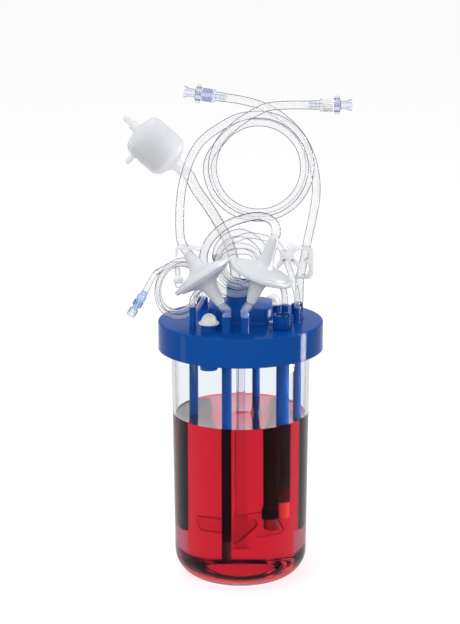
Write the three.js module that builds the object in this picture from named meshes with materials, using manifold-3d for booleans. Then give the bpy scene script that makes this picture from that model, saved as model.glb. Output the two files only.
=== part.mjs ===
// Bench bioreactor: a one litre stirred vessel with a moulded head plate, dip tubes, a magnetic
// drive, filters and tubing. Millimetres, +Z up, the origin on the bench under the vessel's axis.
import * as THREE from 'three';
import Module from 'manifold-3d';
import { mergeVertices } from 'three/addons/utils/BufferGeometryUtils.js';

const wasm = await Module();
wasm.setup();

// ---- Driving dimensions -------------------------------------------------------------------

// Clearances
const FIT = 0.3;              // gap where one piece is pressed or slid into another
const RUNNING_FIT = 0.4;      // gap round a piece that turns

// Vessel
const VESSEL_HEIGHT = 198.2;  // bench to rim
const VESSEL_RADIUS = 53.4;   // outside, at the rim
const VESSEL_DRAFT = 2;       // how much narrower the foot is
const VESSEL_WALL = 2.2;
const VESSEL_FLOOR = 3.6;
const VESSEL_FILLET = 20;
const RIM_FLANGE_THICKNESS = 3;
const LIQUID_LEVEL = 129.9;

// Head plate
const PLATE_THICKNESS = 5.4;
const SKIRT_HEIGHT = 22.2;
const SKIRT_RADIUS = 63.2;
const SKIRT_WALL = 2.6;
const EDGE_ROUNDING = 2.5;
const SPIGOT_DEPTH = 8;
const SPIGOT_WALL = 2;
const PORT_CIRCLE = 44.6;
const WIDE_PORT_INSET = 1.8;  // how much further in the stopper's and the sensor's ports stand
const INNER_CIRCLE = 34;
const SAMPLE_DIP_CIRCLE = 36.3;  // the sampling dip hangs further in than its post

// Drive
const SHAFT_RADIUS = 3.45;
const SHAFT_FOOT = 23.5;      // lower end of the shaft above the bench
const ROTOR_RADIUS = 8;
const ROTOR_LENGTH = 28;
const ROTOR_FLOOR = 4;        // solid end of the rotor over the shaft
const WASHER_THICKNESS = 1;
const BUSH_LENGTH = 8;
const BUSH_FLANGE_RADIUS = 10;
const BUSH_FLANGE_THICKNESS = 2;
const HUB_BOSS_WALL = 2.6;
const TOWER_WALL = 1.8;
const TOWER_ROOF = 3.2;
const TOWER_RECESS_DEPTH = 1.4;
const BLOCK_HALF_WIDTH = 24.3;
const BLOCK_HALF_DEPTH = 22;
const BLOCK_CORNER = 6.6;
const BLOCK_HEIGHT = 12.7;
const PLINTH_HEIGHT = 3.4;
const PLINTH_LEDGE = 0.9;
const BLOCK_CHAMFER = 0.8;

// Impeller
const IMPELLER_RADIUS = 25;
const IMPELLER_HUB_RADIUS = 6.4;
const IMPELLER_HUB_HEIGHT = 25;
const BLADE_COUNT = 3;
const BLADE_WIDTH = 22;
const BLADE_THICKNESS = 1.6;
const BLADE_PITCH = 45;       // degrees
const FIRST_BLADE = -82;      // degrees from +X
const BLADE_CENTRE = 40.5;    // height of the blades' middle above the bench

// Ports
const POST_RADIUS = 3.4;
const THIN_POST_RADIUS = 2.5;
const BARB_LENGTH = 5;
const BARB_RADIUS = 2;
const BARB_RIDGE = 0.45;
const PORT_BORE = 1.2;
const SOCKET_DEPTH = 10;      // how far a dip tube goes up into its socket
const SOCKET_WALL = 1;
const SHORT_BOSS = 3.2;       // length of a socket's boss under the plate
const LONG_BOSS = 20.4;
const DIP_WALL = 1;
const GALLERY_HEIGHT = 2.7;   // channel inside the plate, from its underside, to an offset dip

// Dip tubes: outside radius and lower end above the bench
const SAMPLE_DIP_RADIUS = 3.4;
const SAMPLE_DIP_END = 37.6;
const SPARGE_DIP_RADIUS = 3.7;
const SPARGE_DIP_END = 40.6;
const FRIT_LENGTH = 15.8;
const FRIT_SPIGOT = 6;
const HARVEST_DIP_RADIUS = 3;
const HARVEST_DIP_END = 40;
const ADDITION_DIP_RADIUS = 2.4;
const ADDITION_DIP_END = 62;
const THERMOWELL_RADIUS = 3.05;
const THERMOWELL_FOOT_RADIUS = 3.8;
const THERMOWELL_FOOT = 36;
const THERMOWELL_FOOT_LENGTH = 10;
const THERMOWELL_TIP_LENGTH = 10;

// Sensor under the screw cap
const SENSOR_RADIUS = 4.85;
const SENSOR_TIP_END = 53.8;
const SENSOR_TIP_LENGTH = 13.7;
const SENSOR_COLLAR_LENGTH = 12.1;
const SENSOR_STAND = 10;      // how far the sensor's head stands above the plate
const CAP_RADIUS = 7.55;
const CAP_HEIGHT = 10.8;
const CAP_WALL = 1.25;
const CAP_ROOF = 1.6;
const CAP_FLUTES = 16;
const CAP_FLUTE_DEPTH = 0.5;
const CAP_CROWN_DEPTH = 1.5;
const CAP_CROWN_NOTCHES = 8;
const CAP_NOTCH_WIDTH = 2.2;
const SEAL_THICKNESS = 1;

// Stoppers
const STOPPER_BOSS_RADIUS = 5.9;
const STOPPER_BOSS_HEIGHT = 5;
const STOPPER_BORE = 4.4;
const STOPPER_PLUG_LENGTH = 8;
const STOPPER_FLANGE_RADIUS = 7.8;
const STOPPER_FLANGE_THICKNESS = 1.8;
const STOPPER_DOME_RADIUS = 5.8;
const STOPPER_DOME_HEIGHT = 6.4;
const SEPTUM_SOCKET_RADIUS = 6.6;
const SEPTUM_SOCKET_DEPTH = 24.4;

// Vent filters
const FILTER_RIM_RADIUS = 24.2;
const FILTER_RIM_THICKNESS = 3.4;
const FILTER_DOME_RADIUS = 19.5;
const FILTER_DOME_HEIGHT = 5.4;
const FILTER_DOME_FLAT = 12.1;   // where the dome begins to fall away
const FILTER_WELD = 0.8;      // how far the weld's corner is rounded
const FILTER_STEM_ROOT = 5.4;
const FILTER_STEM_FLARE = 1.4;
const FILTER_STEM_COLLAR = 3;
const FILTER_STEM_TIP = 3.5;
const FILTER_A_RISE = 42.9;   // filters' centres above the head plate
const FILTER_B_RISE = 46;
const STEM_REACH = 1.6;       // straight end of a sleeve before the stem

// Exhaust filter
const CAPSULE_RADIUS = 17;
const CAPSULE_LENGTH = 25;
const CAPSULE_DOME = 6.5;
const CAPSULE_DOME_RADIUS = 10.5;
const CAPSULE_SHOULDER_RADIUS = 15.8;
const CAPSULE_SHOULDER = 1.6;
const CAPSULE_NECK_RADIUS = 4.6;
const CAPSULE_NECK_LENGTH = 11;
const CAPSULE_BARB_RADIUS = 3.5;
const CAPSULE_BARB_WAIST = 2.45;
const CAPSULE_BARB_TIP = 1.9;
const CAPSULE_BARB_LENGTH = 13.6;
const CAPSULE_BARB_STEP = 6.1;
const CAPSULE_VENT_RADIUS = 1.9;
const CAPSULE_VENT_LENGTH = 7.6;
const CAPSULE_VENT_INSET = 5;

// Tubing
const LINE_RADIUS = 3.175;
const THIN_LINE_RADIUS = 2.3;
const SAMPLE_LINE_RADIUS = 2;
const EXHAUST_LINE_RADIUS = 4;
const SLEEVE_RADIUS = 3.45;

// Luer connectors
const CONNECTOR_FLANGE_RADIUS = 4.7;
const CONNECTOR_FLANGE_LENGTH = 1.6;
const CONNECTOR_NECK_RADIUS = 2.8;
const CONNECTOR_BORE = 1.7;
const CONNECTOR_TAPER = 0.3;
const LOCK_RING_RADIUS = 5.15;
const LOCK_RING_LENGTH = 8;
const NUT_RADIUS = 6.8;
const NUT_LENGTH = 4.4;
const NUT_CORE = 5.4;
const NUT_WINGS = 6;
const WING_DEPTH = 3.4;
const WING_WIDTH = 4.2;
const WING_INSET = 0.4;
const BARREL_LENGTH = 4.8;
const BARREL_RADIUS = 3.2;
const FLARE_LENGTH = 4.1;
const FLARE_RADIUS = 4.3;
const FLARE_LIP = 1.2;

// Sampling valve, and the blanked branch on the sampling coil
const VALVE_NECK_RADIUS = 2.5;
const VALVE_NECK_LENGTH = 3;
const VALVE_RADIUS = 3.4;
const VALVE_LENGTH = 9;
const VALVE_SPOUT_RADIUS = 2.2;
const VALVE_SPOUT_LENGTH = 1.8;
const VALVE_CHAMFER = 0.6;
const VALVE_CAP_RADIUS = 3.2;
const VALVE_CAP_LENGTH = 6.3;
const BRANCH_LENGTH = 4.2;
const BRANCH_CAP_RADIUS = 3.6;
const BRANCH_CAP_LENGTH = 5.7;
const BRANCH_PLUG_RADIUS = 3.4;
const BRANCH_PLUG_LENGTH = 3.7;
const BRANCH_PLUG_EDGE = 0.7;

// Pinch clamps
const CLAMP_DEPTH = 10.4;
const CLAMP_FIT = 0.48;

// Facets
const ROUND = 40;
const MEDIUM_ROUND = 24;
const HALF_ROUND = 20;
const LOW_ROUND = 16;
const CONNECTOR_ROUND = 14;
const SMALL_ROUND = 12;
const TUBE_ROUND = 10;

// Places worked out from the sizes above
const PLATE_UNDERSIDE = VESSEL_HEIGHT;
const PLATE_TOP = PLATE_UNDERSIDE + PLATE_THICKNESS;
const SKIRT_BOTTOM = PLATE_TOP - SKIRT_HEIGHT;
const FOOT_RADIUS = VESSEL_RADIUS - VESSEL_DRAFT;
const ROTOR_CAVITY = ROTOR_RADIUS + RUNNING_FIT + 0.6;
const TOWER_RADIUS = ROTOR_CAVITY + TOWER_WALL;
const BUSH_TOP = PLATE_UNDERSIDE + FIT;
const WASHER_TOP = BUSH_TOP + WASHER_THICKNESS;
const ROTOR_FOOT = WASHER_TOP + FIT;
const ROTOR_TOP = ROTOR_FOOT + ROTOR_LENGTH;
const CAVITY_ROOF = ROTOR_TOP + 1;
const TOWER_TOP = CAVITY_ROOF + TOWER_ROOF + TOWER_RECESS_DEPTH;
const SHAFT_TOP = ROTOR_TOP - ROTOR_FLOOR - FIT;

// ---- Materials ----------------------------------------------------------------------------

function material(color, roughness, metalness = 0, opacity = 1) {
  const transparent = opacity < 1;
  return new THREE.MeshStandardMaterial({ color, roughness, metalness, opacity, transparent });
}

const clearPlastic = material(0xeef3f6, 0.06, 0, 0.3);
const bluePlastic = material(0x134b98, 0.22);
const medium = material(0xc8202c, 0.1, 0, 0.8);
const whitePlastic = material(0xeee8e4, 0.5);
const filterPlastic = material(0xdde1e6, 0.45);
const clearTubing = material(0xe4e6e8, 0.2, 0, 0.5);
const tintedPlastic = material(0xb9c4e6, 0.15, 0, 0.6);
const valvePlastic = material(0x5b86c8, 0.2, 0, 0.8);
const ceramic = material(0xd8d4cc, 0.8);
const steel = material(0x9aa0a6, 0.3, 1);
const darkRed = material(0x6a1f2a, 0.4);
const glassTip = material(0xd9603a, 0.1, 0, 0.8);
const rotorPlastic = material(0x2b2f36, 0.5);
const rubber = material(0x35383d, 0.8);

// ---- Solids -------------------------------------------------------------------------------

// A manifold from any closed geometry, turned inside out where its faces point inwards
function solid(geometry) {
  const bare = geometry.clone();
  bare.deleteAttribute('normal');
  bare.deleteAttribute('uv');
  const merged = mergeVertices(bare, 1e-4);
  const position = merged.attributes.position;
  const index = merged.index;
  const [a, b, c] = [new THREE.Vector3(), new THREE.Vector3(), new THREE.Vector3()];
  let volume = 0;
  for (let i = 0; i < index.count; i += 3) {
    a.fromBufferAttribute(position, index.getX(i));
    b.fromBufferAttribute(position, index.getX(i + 1));
    c.fromBufferAttribute(position, index.getX(i + 2));
    volume += a.dot(b.cross(c)) / 6;
  }
  if (volume < 0) {
    for (let i = 0; i < index.count; i += 3) {
      const first = index.getX(i);
      index.setX(i, index.getX(i + 1));
      index.setX(i + 1, first);
    }
  }
  return new wasm.Manifold(new wasm.Mesh({
    numProp: 3,
    vertProperties: new Float32Array(merged.attributes.position.array),
    triVerts: new Uint32Array(merged.index.array),
  }));
}

function geometryOf(manifold) {
  const mesh = manifold.getMesh();
  const geometry = new THREE.BufferGeometry();
  const position = new THREE.BufferAttribute(new Float32Array(mesh.vertProperties), 3);
  geometry.setAttribute('position', position);
  geometry.setIndex(new THREE.BufferAttribute(new Uint32Array(mesh.triVerts), 1));
  geometry.computeVertexNormals();
  return geometry;
}

function join(parts) {
  return parts.reduce((whole, part) => whole.add(part));
}

// A turned form about Z from [radius, height] points, which start and end on the axis or close
function turned(profile, segments = MEDIUM_ROUND) {
  const points = profile.map(([radius, height]) => new THREE.Vector2(Math.max(radius, 0), height));
  const geometry = new THREE.LatheGeometry(points, segments);
  geometry.rotateX(Math.PI / 2);
  return solid(geometry);
}

function ring(inner, outer, bottom, top, segments = MEDIUM_ROUND) {
  return turned([[inner, bottom], [outer, bottom], [outer, top], [inner, top], [inner, bottom]],
    segments);
}

function rod(radius, bottom, top, segments = SMALL_ROUND) {
  return turned([[0, bottom], [radius, bottom], [radius, top], [0, top]], segments);
}

// Points of a quarter circle from angle start to end, in degrees, about a centre
function arc(centreRadius, centreHeight, radius, start, end, steps) {
  return Array.from({ length: steps + 1 }, (_, i) => {
    const angle = THREE.MathUtils.degToRad(start + (end - start) * i / steps);
    return [centreRadius + radius * Math.cos(angle), centreHeight + radius * Math.sin(angle)];
  });
}

function extruded(outline, height, options = {}) {
  const shape = new THREE.Shape(outline.map(([x, y]) => new THREE.Vector2(x, y)));
  const settings = { depth: height, bevelEnabled: false, steps: 1, ...options };
  return solid(new THREE.ExtrudeGeometry(shape, settings));
}

function moved(manifold, x, y, z = 0) {
  return manifold.translate([x, y, z]);
}

// The round section of a tube, as an outline of so many sides
function section(radius, sides) {
  const outline = Array.from({ length: sides }, (_, i) => {
    const angle = 2 * Math.PI * i / sides;
    return new THREE.Vector2(radius * Math.cos(angle), radius * Math.sin(angle));
  });
  return new THREE.Shape(outline);
}

function along(points) {
  const route = points.map((point) => new THREE.Vector3(...point));
  return new THREE.CatmullRomCurve3(route, false, 'centripetal');
}

// A tube on a route; its facets' length follows the radius, or the spacing where one is given
function tube(points, radius, sides, bore = 0, spacing = radius * 5) {
  const path = along(points);
  const shape = section(radius, sides);
  if (bore > 0) shape.holes.push(new THREE.Path(section(bore, sides).getPoints()));
  const steps = Math.max(3, Math.ceil(path.getLength() / spacing));
  const settings = { extrudePath: path, steps, bevelEnabled: false };
  return solid(new THREE.ExtrudeGeometry(shape, settings));
}

// ---- The assembly -------------------------------------------------------------------------

const bioreactor = new THREE.Group();
bioreactor.name = 'bench_bioreactor';

function place(name, manifold, finish, parent = bioreactor) {
  const mesh = new THREE.Mesh(geometryOf(manifold), finish);
  mesh.name = name;
  parent.add(mesh);
  return mesh;
}

// A group at a point whose own Z axis points along a direction
function seat(origin, direction) {
  const group = new THREE.Group();
  group.position.set(...origin);
  const axis = new THREE.Vector3(...direction).normalize();
  group.quaternion.setFromUnitVectors(new THREE.Vector3(0, 0, 1), axis);
  bioreactor.add(group);
  return group;
}

// The unit vector along a direction
function unit(...direction) {
  return new THREE.Vector3(...direction).normalize().toArray();
}

function onCircle(radius, degrees) {
  const angle = THREE.MathUtils.degToRad(degrees);
  return [radius * Math.cos(angle), radius * Math.sin(angle)];
}

// Every port by name: where it stands, its post, its barb and the dip tube that it holds
const ports = {
  sample: { at: onCircle(PORT_CIRCLE, -143.9), post: THIN_POST_RADIUS, height: 15.9,
    dip: SAMPLE_DIP_RADIUS, boss: SHORT_BOSS, dipAt: onCircle(SAMPLE_DIP_CIRCLE, -172) },
  sparge: { at: onCircle(PORT_CIRCLE, -103.4), post: POST_RADIUS, height: 12.4, barb: true,
    dip: SPARGE_DIP_RADIUS, boss: LONG_BOSS },
  overlay: { at: onCircle(PORT_CIRCLE, -85.7), post: POST_RADIUS, height: 12.4, barb: true },
  harvest: { at: onCircle(PORT_CIRCLE, -15.4), post: THIN_POST_RADIUS, height: 12,
    dip: HARVEST_DIP_RADIUS, boss: SHORT_BOSS },
  feed: { at: onCircle(PORT_CIRCLE, 3.8), post: POST_RADIUS, height: 12.4 },
  addition: { at: onCircle(PORT_CIRCLE, 21), post: THIN_POST_RADIUS, height: 8.6,
    dip: ADDITION_DIP_RADIUS, boss: SHORT_BOSS, closed: true },
  recycle: { at: onCircle(INNER_CIRCLE, 3.4), post: THIN_POST_RADIUS, height: 10.8 },
  spare: { at: onCircle(PORT_CIRCLE, 132), post: STOPPER_BORE, height: 9.4, closed: true },
  exhaust: { at: onCircle(PORT_CIRCLE, 95), post: EXHAUST_LINE_RADIUS, height: 12.4 },
};
const thermowellAt = onCircle(PORT_CIRCLE, 74);
const sensorAt = onCircle(PORT_CIRCLE - WIDE_PORT_INSET, -42.5);
const frontStopperAt = onCircle(PORT_CIRCLE - WIDE_PORT_INSET, -123.5);
const rearStopperAt = onCircle(INNER_CIRCLE + 4.3, 49.2);
const SENSOR_BOSS_RADIUS = CAP_RADIUS - CAP_FLUTE_DEPTH - CAP_WALL;
const SENSOR_BORE = SENSOR_RADIUS + FIT;
const SENSOR_BOSS_TOP = PLATE_TOP + CAP_HEIGHT - CAP_CROWN_DEPTH - CAP_ROOF - SEAL_THICKNESS - FIT;

function portTop(name) {
  return PLATE_TOP + ports[name].height;
}

// -- Vessel and its contents

function vesselRadius(height) {
  const share = THREE.MathUtils.clamp(
    (height - VESSEL_FILLET) / (VESSEL_HEIGHT - VESSEL_FILLET), 0, 1);
  return FOOT_RADIUS + VESSEL_DRAFT * share;
}

function innerProfile(inset, top) {
  const fillet = VESSEL_FILLET - VESSEL_WALL - inset;
  const floor = VESSEL_FLOOR + inset;
  const radius = vesselRadius(VESSEL_FILLET) - VESSEL_WALL - inset;
  return [
    [0, floor],
    ...arc(radius - fillet, floor + fillet, fillet, -90, 0, 4),
    [vesselRadius(top) - VESSEL_WALL - inset, top],
  ];
}

const rimFlangeRadius = SKIRT_RADIUS - SKIRT_WALL - FIT;
const flangeBottom = VESSEL_HEIGHT - RIM_FLANGE_THICKNESS;
const vessel = turned([
  [0, 0],
  ...arc(FOOT_RADIUS - VESSEL_FILLET, VESSEL_FILLET, VESSEL_FILLET, -90, 0, 5),
  [vesselRadius(flangeBottom), flangeBottom],
  [rimFlangeRadius, flangeBottom],
  [rimFlangeRadius, VESSEL_HEIGHT],
  ...innerProfile(0, VESSEL_HEIGHT).reverse(),
], ROUND);
place('vessel', vessel, clearPlastic);

const dips = [
  [ports.sample.dipAt, SAMPLE_DIP_RADIUS, SAMPLE_DIP_END],
  [ports.sparge.at, SPARGE_DIP_RADIUS, SPARGE_DIP_END - FRIT_LENGTH],
  [ports.harvest.at, HARVEST_DIP_RADIUS, HARVEST_DIP_END],
  [ports.addition.at, ADDITION_DIP_RADIUS, ADDITION_DIP_END],
  [thermowellAt, THERMOWELL_FOOT_RADIUS, THERMOWELL_FOOT - THERMOWELL_TIP_LENGTH],
  [sensorAt, SENSOR_RADIUS, SENSOR_TIP_END],
];
const bladeRise = BLADE_WIDTH / 2 * Math.sin(THREE.MathUtils.degToRad(BLADE_PITCH)) + BLADE_THICKNESS;
const sweepFoot = Math.min(SHAFT_FOOT, BLADE_CENTRE - bladeRise) - 1;
const sweepTop = BLADE_CENTRE + bladeRise + 1;
const cultureMedium = [
  rod(IMPELLER_RADIUS + 1.5, sweepFoot, sweepTop, MEDIUM_ROUND),
  rod(IMPELLER_HUB_RADIUS + 1, sweepTop - 1, LIQUID_LEVEL + 1, SMALL_ROUND),
  ...dips.map(([[x, y], radius, end]) => moved(
    rod(radius + FIT * 1.5, end - FIT, LIQUID_LEVEL + 1, SMALL_ROUND), x, y)),
].reduce((whole, cut) => whole.subtract(cut),
  turned([...innerProfile(FIT, LIQUID_LEVEL), [0, LIQUID_LEVEL]], ROUND));
place('culture_medium', cultureMedium, medium);

// -- Head plate, one moulding with its hub, tower, posts and sockets

function octagon(halfWidth, halfDepth, corner) {
  const [w, d] = [halfWidth, halfDepth];
  return [
    [w - corner, -d], [w, -d + corner], [w, d - corner], [w - corner, d],
    [-w + corner, d], [-w, d - corner], [-w, -d + corner], [-w + corner, -d],
  ];
}

// A channel inside the plate, from a port's bore to a dip that hangs elsewhere
function gallery([x, y], [dipX, dipY]) {
  const heading = THREE.MathUtils.radToDeg(Math.atan2(dipY - y, dipX - x));
  return moved(rod(PORT_BORE, 0, Math.hypot(dipX - x, dipY - y), 8).rotate([0, 90, heading]),
    x, y, PLATE_UNDERSIDE + GALLERY_HEIGHT);
}

function headPlate() {
  const spigotOuter = VESSEL_RADIUS - VESSEL_WALL - FIT;
  const skirtInner = SKIRT_RADIUS - SKIRT_WALL;
  const body = turned([
    [0, PLATE_UNDERSIDE],
    [spigotOuter - SPIGOT_WALL, PLATE_UNDERSIDE],
    [spigotOuter - SPIGOT_WALL, PLATE_UNDERSIDE - SPIGOT_DEPTH],
    [spigotOuter, PLATE_UNDERSIDE - SPIGOT_DEPTH],
    [spigotOuter, PLATE_UNDERSIDE],
    [skirtInner, PLATE_UNDERSIDE],
    [skirtInner, SKIRT_BOTTOM],
    [SKIRT_RADIUS - 0.5, SKIRT_BOTTOM],
    [SKIRT_RADIUS, SKIRT_BOTTOM + 0.5],
    ...arc(SKIRT_RADIUS - EDGE_ROUNDING, PLATE_TOP - EDGE_ROUNDING, EDGE_ROUNDING, 0, 90, 3),
    [0, PLATE_TOP],
  ], ROUND);
  const root = PLATE_TOP - 1;
  const bevel = { bevelEnabled: true, bevelThickness: BLOCK_CHAMFER, bevelSize: BLOCK_CHAMFER,
    bevelOffset: -BLOCK_CHAMFER, bevelSegments: 2 };
  const block = extruded(octagon(BLOCK_HALF_WIDTH, BLOCK_HALF_DEPTH, BLOCK_CORNER),
    BLOCK_HEIGHT - BLOCK_CHAMFER + 1, bevel);
  const plinth = extruded(octagon(BLOCK_HALF_WIDTH + PLINTH_LEDGE,
    BLOCK_HALF_DEPTH + PLINTH_LEDGE, BLOCK_CORNER), PLINTH_HEIGHT + 1);
  const added = [
    body,
    moved(block, 0, 0, root),
    moved(plinth, 0, 0, root),
    rod(TOWER_RADIUS, PLATE_UNDERSIDE + 1, TOWER_TOP, MEDIUM_ROUND),
    ring(ROTOR_CAVITY, ROTOR_CAVITY + HUB_BOSS_WALL, PLATE_UNDERSIDE - BUSH_LENGTH,
      PLATE_UNDERSIDE + 1),
  ];
  const cuts = [
    rod(ROTOR_CAVITY, PLATE_UNDERSIDE - BUSH_LENGTH - 1, CAVITY_ROOF, MEDIUM_ROUND),
    rod(TOWER_RADIUS - TOWER_WALL, TOWER_TOP - TOWER_RECESS_DEPTH, TOWER_TOP + 1, MEDIUM_ROUND),
  ];
  for (const port of Object.values(ports)) {
    const [x, y] = port.at;
    const top = PLATE_TOP + port.height;
    added.push(moved(rod(port.post, root, top), x, y));
    if (port.barb) {
      const [tip, mid] = [top + BARB_LENGTH, top + BARB_LENGTH / 2];
      const barb = turned([[0, top - 1], [BARB_RADIUS, top - 1], [BARB_RADIUS, mid],
        [BARB_RADIUS + BARB_RIDGE, mid], [BARB_RADIUS - BARB_RIDGE, tip], [0, tip]], SMALL_ROUND);
      added.push(moved(barb, x, y));
    }
    if (port.dip) {
      const bossFoot = PLATE_UNDERSIDE - port.boss;
      const socketRoof = bossFoot + port.boss + PLATE_THICKNESS - 1;
      const dipAt = port.dipAt ?? port.at;
      added.push(moved(rod(port.dip + FIT + SOCKET_WALL, bossFoot, root), ...dipAt));
      cuts.push(moved(rod(port.dip + FIT, bossFoot - 1, socketRoof), ...dipAt));
    }
    if (port.dipAt) cuts.push(gallery(port.at, port.dipAt));
    if (!port.closed) {
      const boreFoot = port.dipAt ? GALLERY_HEIGHT : -LONG_BOSS - 2;
      cuts.push(moved(rod(PORT_BORE, PLATE_UNDERSIDE + boreFoot, top + BARB_LENGTH + 1, 8), x, y));
    }
  }
  for (const at of [frontStopperAt, rearStopperAt]) {
    added.push(moved(rod(STOPPER_BOSS_RADIUS, root, PLATE_TOP + STOPPER_BOSS_HEIGHT), ...at));
    cuts.push(moved(rod(STOPPER_BORE, PLATE_TOP + STOPPER_BOSS_HEIGHT - STOPPER_PLUG_LENGTH - 1,
      PLATE_TOP + STOPPER_BOSS_HEIGHT + 1), ...at));
  }
  const socketFoot = PLATE_UNDERSIDE - SEPTUM_SOCKET_DEPTH;
  added.push(moved(rod(SEPTUM_SOCKET_RADIUS, socketFoot, root, HALF_ROUND), ...frontStopperAt));
  cuts.push(moved(rod(SEPTUM_SOCKET_RADIUS - 1.5, socketFoot - 1, PLATE_UNDERSIDE - 2), ...frontStopperAt));
  added.push(moved(rod(SENSOR_BOSS_RADIUS - FIT, root, SENSOR_BOSS_TOP, MEDIUM_ROUND), ...sensorAt));
  cuts.push(moved(rod(SENSOR_BORE, PLATE_UNDERSIDE - 1, SENSOR_BOSS_TOP + 1, MEDIUM_ROUND),
    ...sensorAt));
  cuts.push(moved(rod(THERMOWELL_RADIUS + FIT, PLATE_UNDERSIDE - 1, PLATE_TOP + 1), ...thermowellAt));
  return cuts.reduce((whole, cut) => whole.subtract(cut), join(added));
}
place('head_plate', headPlate(), bluePlastic);

// -- Dip tubes and what hangs under the plate

function dipTube(name, port, end, finish) {
  const { at, dipAt, dip, boss } = ports[port];
  const room = dipAt ? GALLERY_HEIGHT - PORT_BORE : PLATE_THICKNESS - 1;
  const top = PLATE_UNDERSIDE + Math.min(SOCKET_DEPTH - boss, room) - FIT;
  const head = Math.max(top, PLATE_UNDERSIDE - boss + 2);
  place(name, moved(ring(dip - DIP_WALL, dip, end, head, SMALL_ROUND), ...(dipAt ?? at)), finish);
}
dipTube('sampling_dip_tube', 'sample', SAMPLE_DIP_END, bluePlastic);
dipTube('sparge_dip_tube', 'sparge', SPARGE_DIP_END, bluePlastic);
dipTube('harvest_dip_tube', 'harvest', HARVEST_DIP_END, bluePlastic);
dipTube('addition_dip_tube', 'addition', ADDITION_DIP_END, clearPlastic);

const fritSpigot = SPARGE_DIP_RADIUS - DIP_WALL - FIT;
place('sparge_frit', moved(turned([
  [0, SPARGE_DIP_END - FRIT_LENGTH],
  [SPARGE_DIP_RADIUS - 0.6, SPARGE_DIP_END - FRIT_LENGTH],
  [SPARGE_DIP_RADIUS, SPARGE_DIP_END - FRIT_LENGTH + 0.6],
  [SPARGE_DIP_RADIUS, SPARGE_DIP_END],
  [fritSpigot, SPARGE_DIP_END],
  [fritSpigot, SPARGE_DIP_END + FRIT_SPIGOT],
  [0, SPARGE_DIP_END + FRIT_SPIGOT],
], SMALL_ROUND), ...ports.sparge.at), ceramic);

const wellBore = THERMOWELL_RADIUS - DIP_WALL;
const wellFootTop = THERMOWELL_FOOT + THERMOWELL_FOOT_LENGTH;
place('thermowell', moved(turned([
  [0, THERMOWELL_FOOT],
  [THERMOWELL_FOOT_RADIUS, THERMOWELL_FOOT],
  [THERMOWELL_FOOT_RADIUS, wellFootTop],
  [THERMOWELL_RADIUS, wellFootTop],
  [THERMOWELL_RADIUS, PLATE_TOP],
  [wellBore, PLATE_TOP],
  [wellBore, THERMOWELL_FOOT + 2],
  [0, THERMOWELL_FOOT + 2],
], SMALL_ROUND), ...thermowellAt), bluePlastic);
const tipFoot = THERMOWELL_FOOT - THERMOWELL_TIP_LENGTH;
place('thermowell_tip', moved(turned([
  [0, tipFoot],
  ...arc(0, tipFoot + THERMOWELL_RADIUS, THERMOWELL_RADIUS, -60, 0, 3),
  [THERMOWELL_RADIUS, THERMOWELL_FOOT],
  [0, THERMOWELL_FOOT],
], SMALL_ROUND), ...thermowellAt), steel);

// -- Sensor, its seal and its screw cap

const collarFoot = SENSOR_TIP_END + SENSOR_TIP_LENGTH;
const bodyFoot = collarFoot + SENSOR_COLLAR_LENGTH;
place('sensor_body', moved(rod(SENSOR_RADIUS, bodyFoot, PLATE_TOP + SENSOR_STAND), ...sensorAt),
  bluePlastic);
place('sensor_collar', moved(rod(SENSOR_RADIUS, collarFoot, bodyFoot), ...sensorAt), darkRed);
place('sensor_tip', moved(turned([
  [0, SENSOR_TIP_END],
  [SENSOR_RADIUS - 2, SENSOR_TIP_END],
  ...arc(SENSOR_RADIUS - 1.8, SENSOR_TIP_END + 1.5, 1.5, -60, 0, 2),
  [SENSOR_RADIUS - FIT, collarFoot],
  [0, collarFoot],
], SMALL_ROUND), ...sensorAt), glassTip);
place('sensor_seal', moved(ring(SENSOR_BORE, SENSOR_BOSS_RADIUS - FIT, SENSOR_BOSS_TOP,
  SENSOR_BOSS_TOP + SEAL_THICKNESS, SMALL_ROUND), ...sensorAt), rubber);

function screwCap() {
  const flutes = Array.from({ length: CAP_FLUTES * 2 }, (_, i) => {
    const radius = i % 2 ? CAP_RADIUS : CAP_RADIUS - CAP_FLUTE_DEPTH;
    return onCircle(radius, i * 180 / CAP_FLUTES);
  });
  const foot = PLATE_TOP + FIT;
  const top = PLATE_TOP + CAP_HEIGHT;
  const roof = top - CAP_CROWN_DEPTH - CAP_ROOF;
  let cap = moved(extruded(flutes, CAP_HEIGHT - FIT), 0, 0, foot)
    .subtract(rod(SENSOR_BOSS_RADIUS, foot - 1, roof, MEDIUM_ROUND))
    .subtract(rod(SENSOR_BORE + 0.2, roof - 1, top + 1, MEDIUM_ROUND));
  for (let i = 0; i < CAP_CROWN_NOTCHES; i += 1) {
    const notch = new THREE.BoxGeometry(CAP_RADIUS, CAP_NOTCH_WIDTH, CAP_CROWN_DEPTH * 2);
    notch.translate(CAP_RADIUS * 0.9, 0, top);
    notch.rotateZ(2 * Math.PI * i / CAP_CROWN_NOTCHES);
    cap = cap.subtract(solid(notch));
  }
  return cap;
}
place('sensor_screw_cap', moved(screwCap(), ...sensorAt), bluePlastic);

// -- Stoppers

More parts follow.
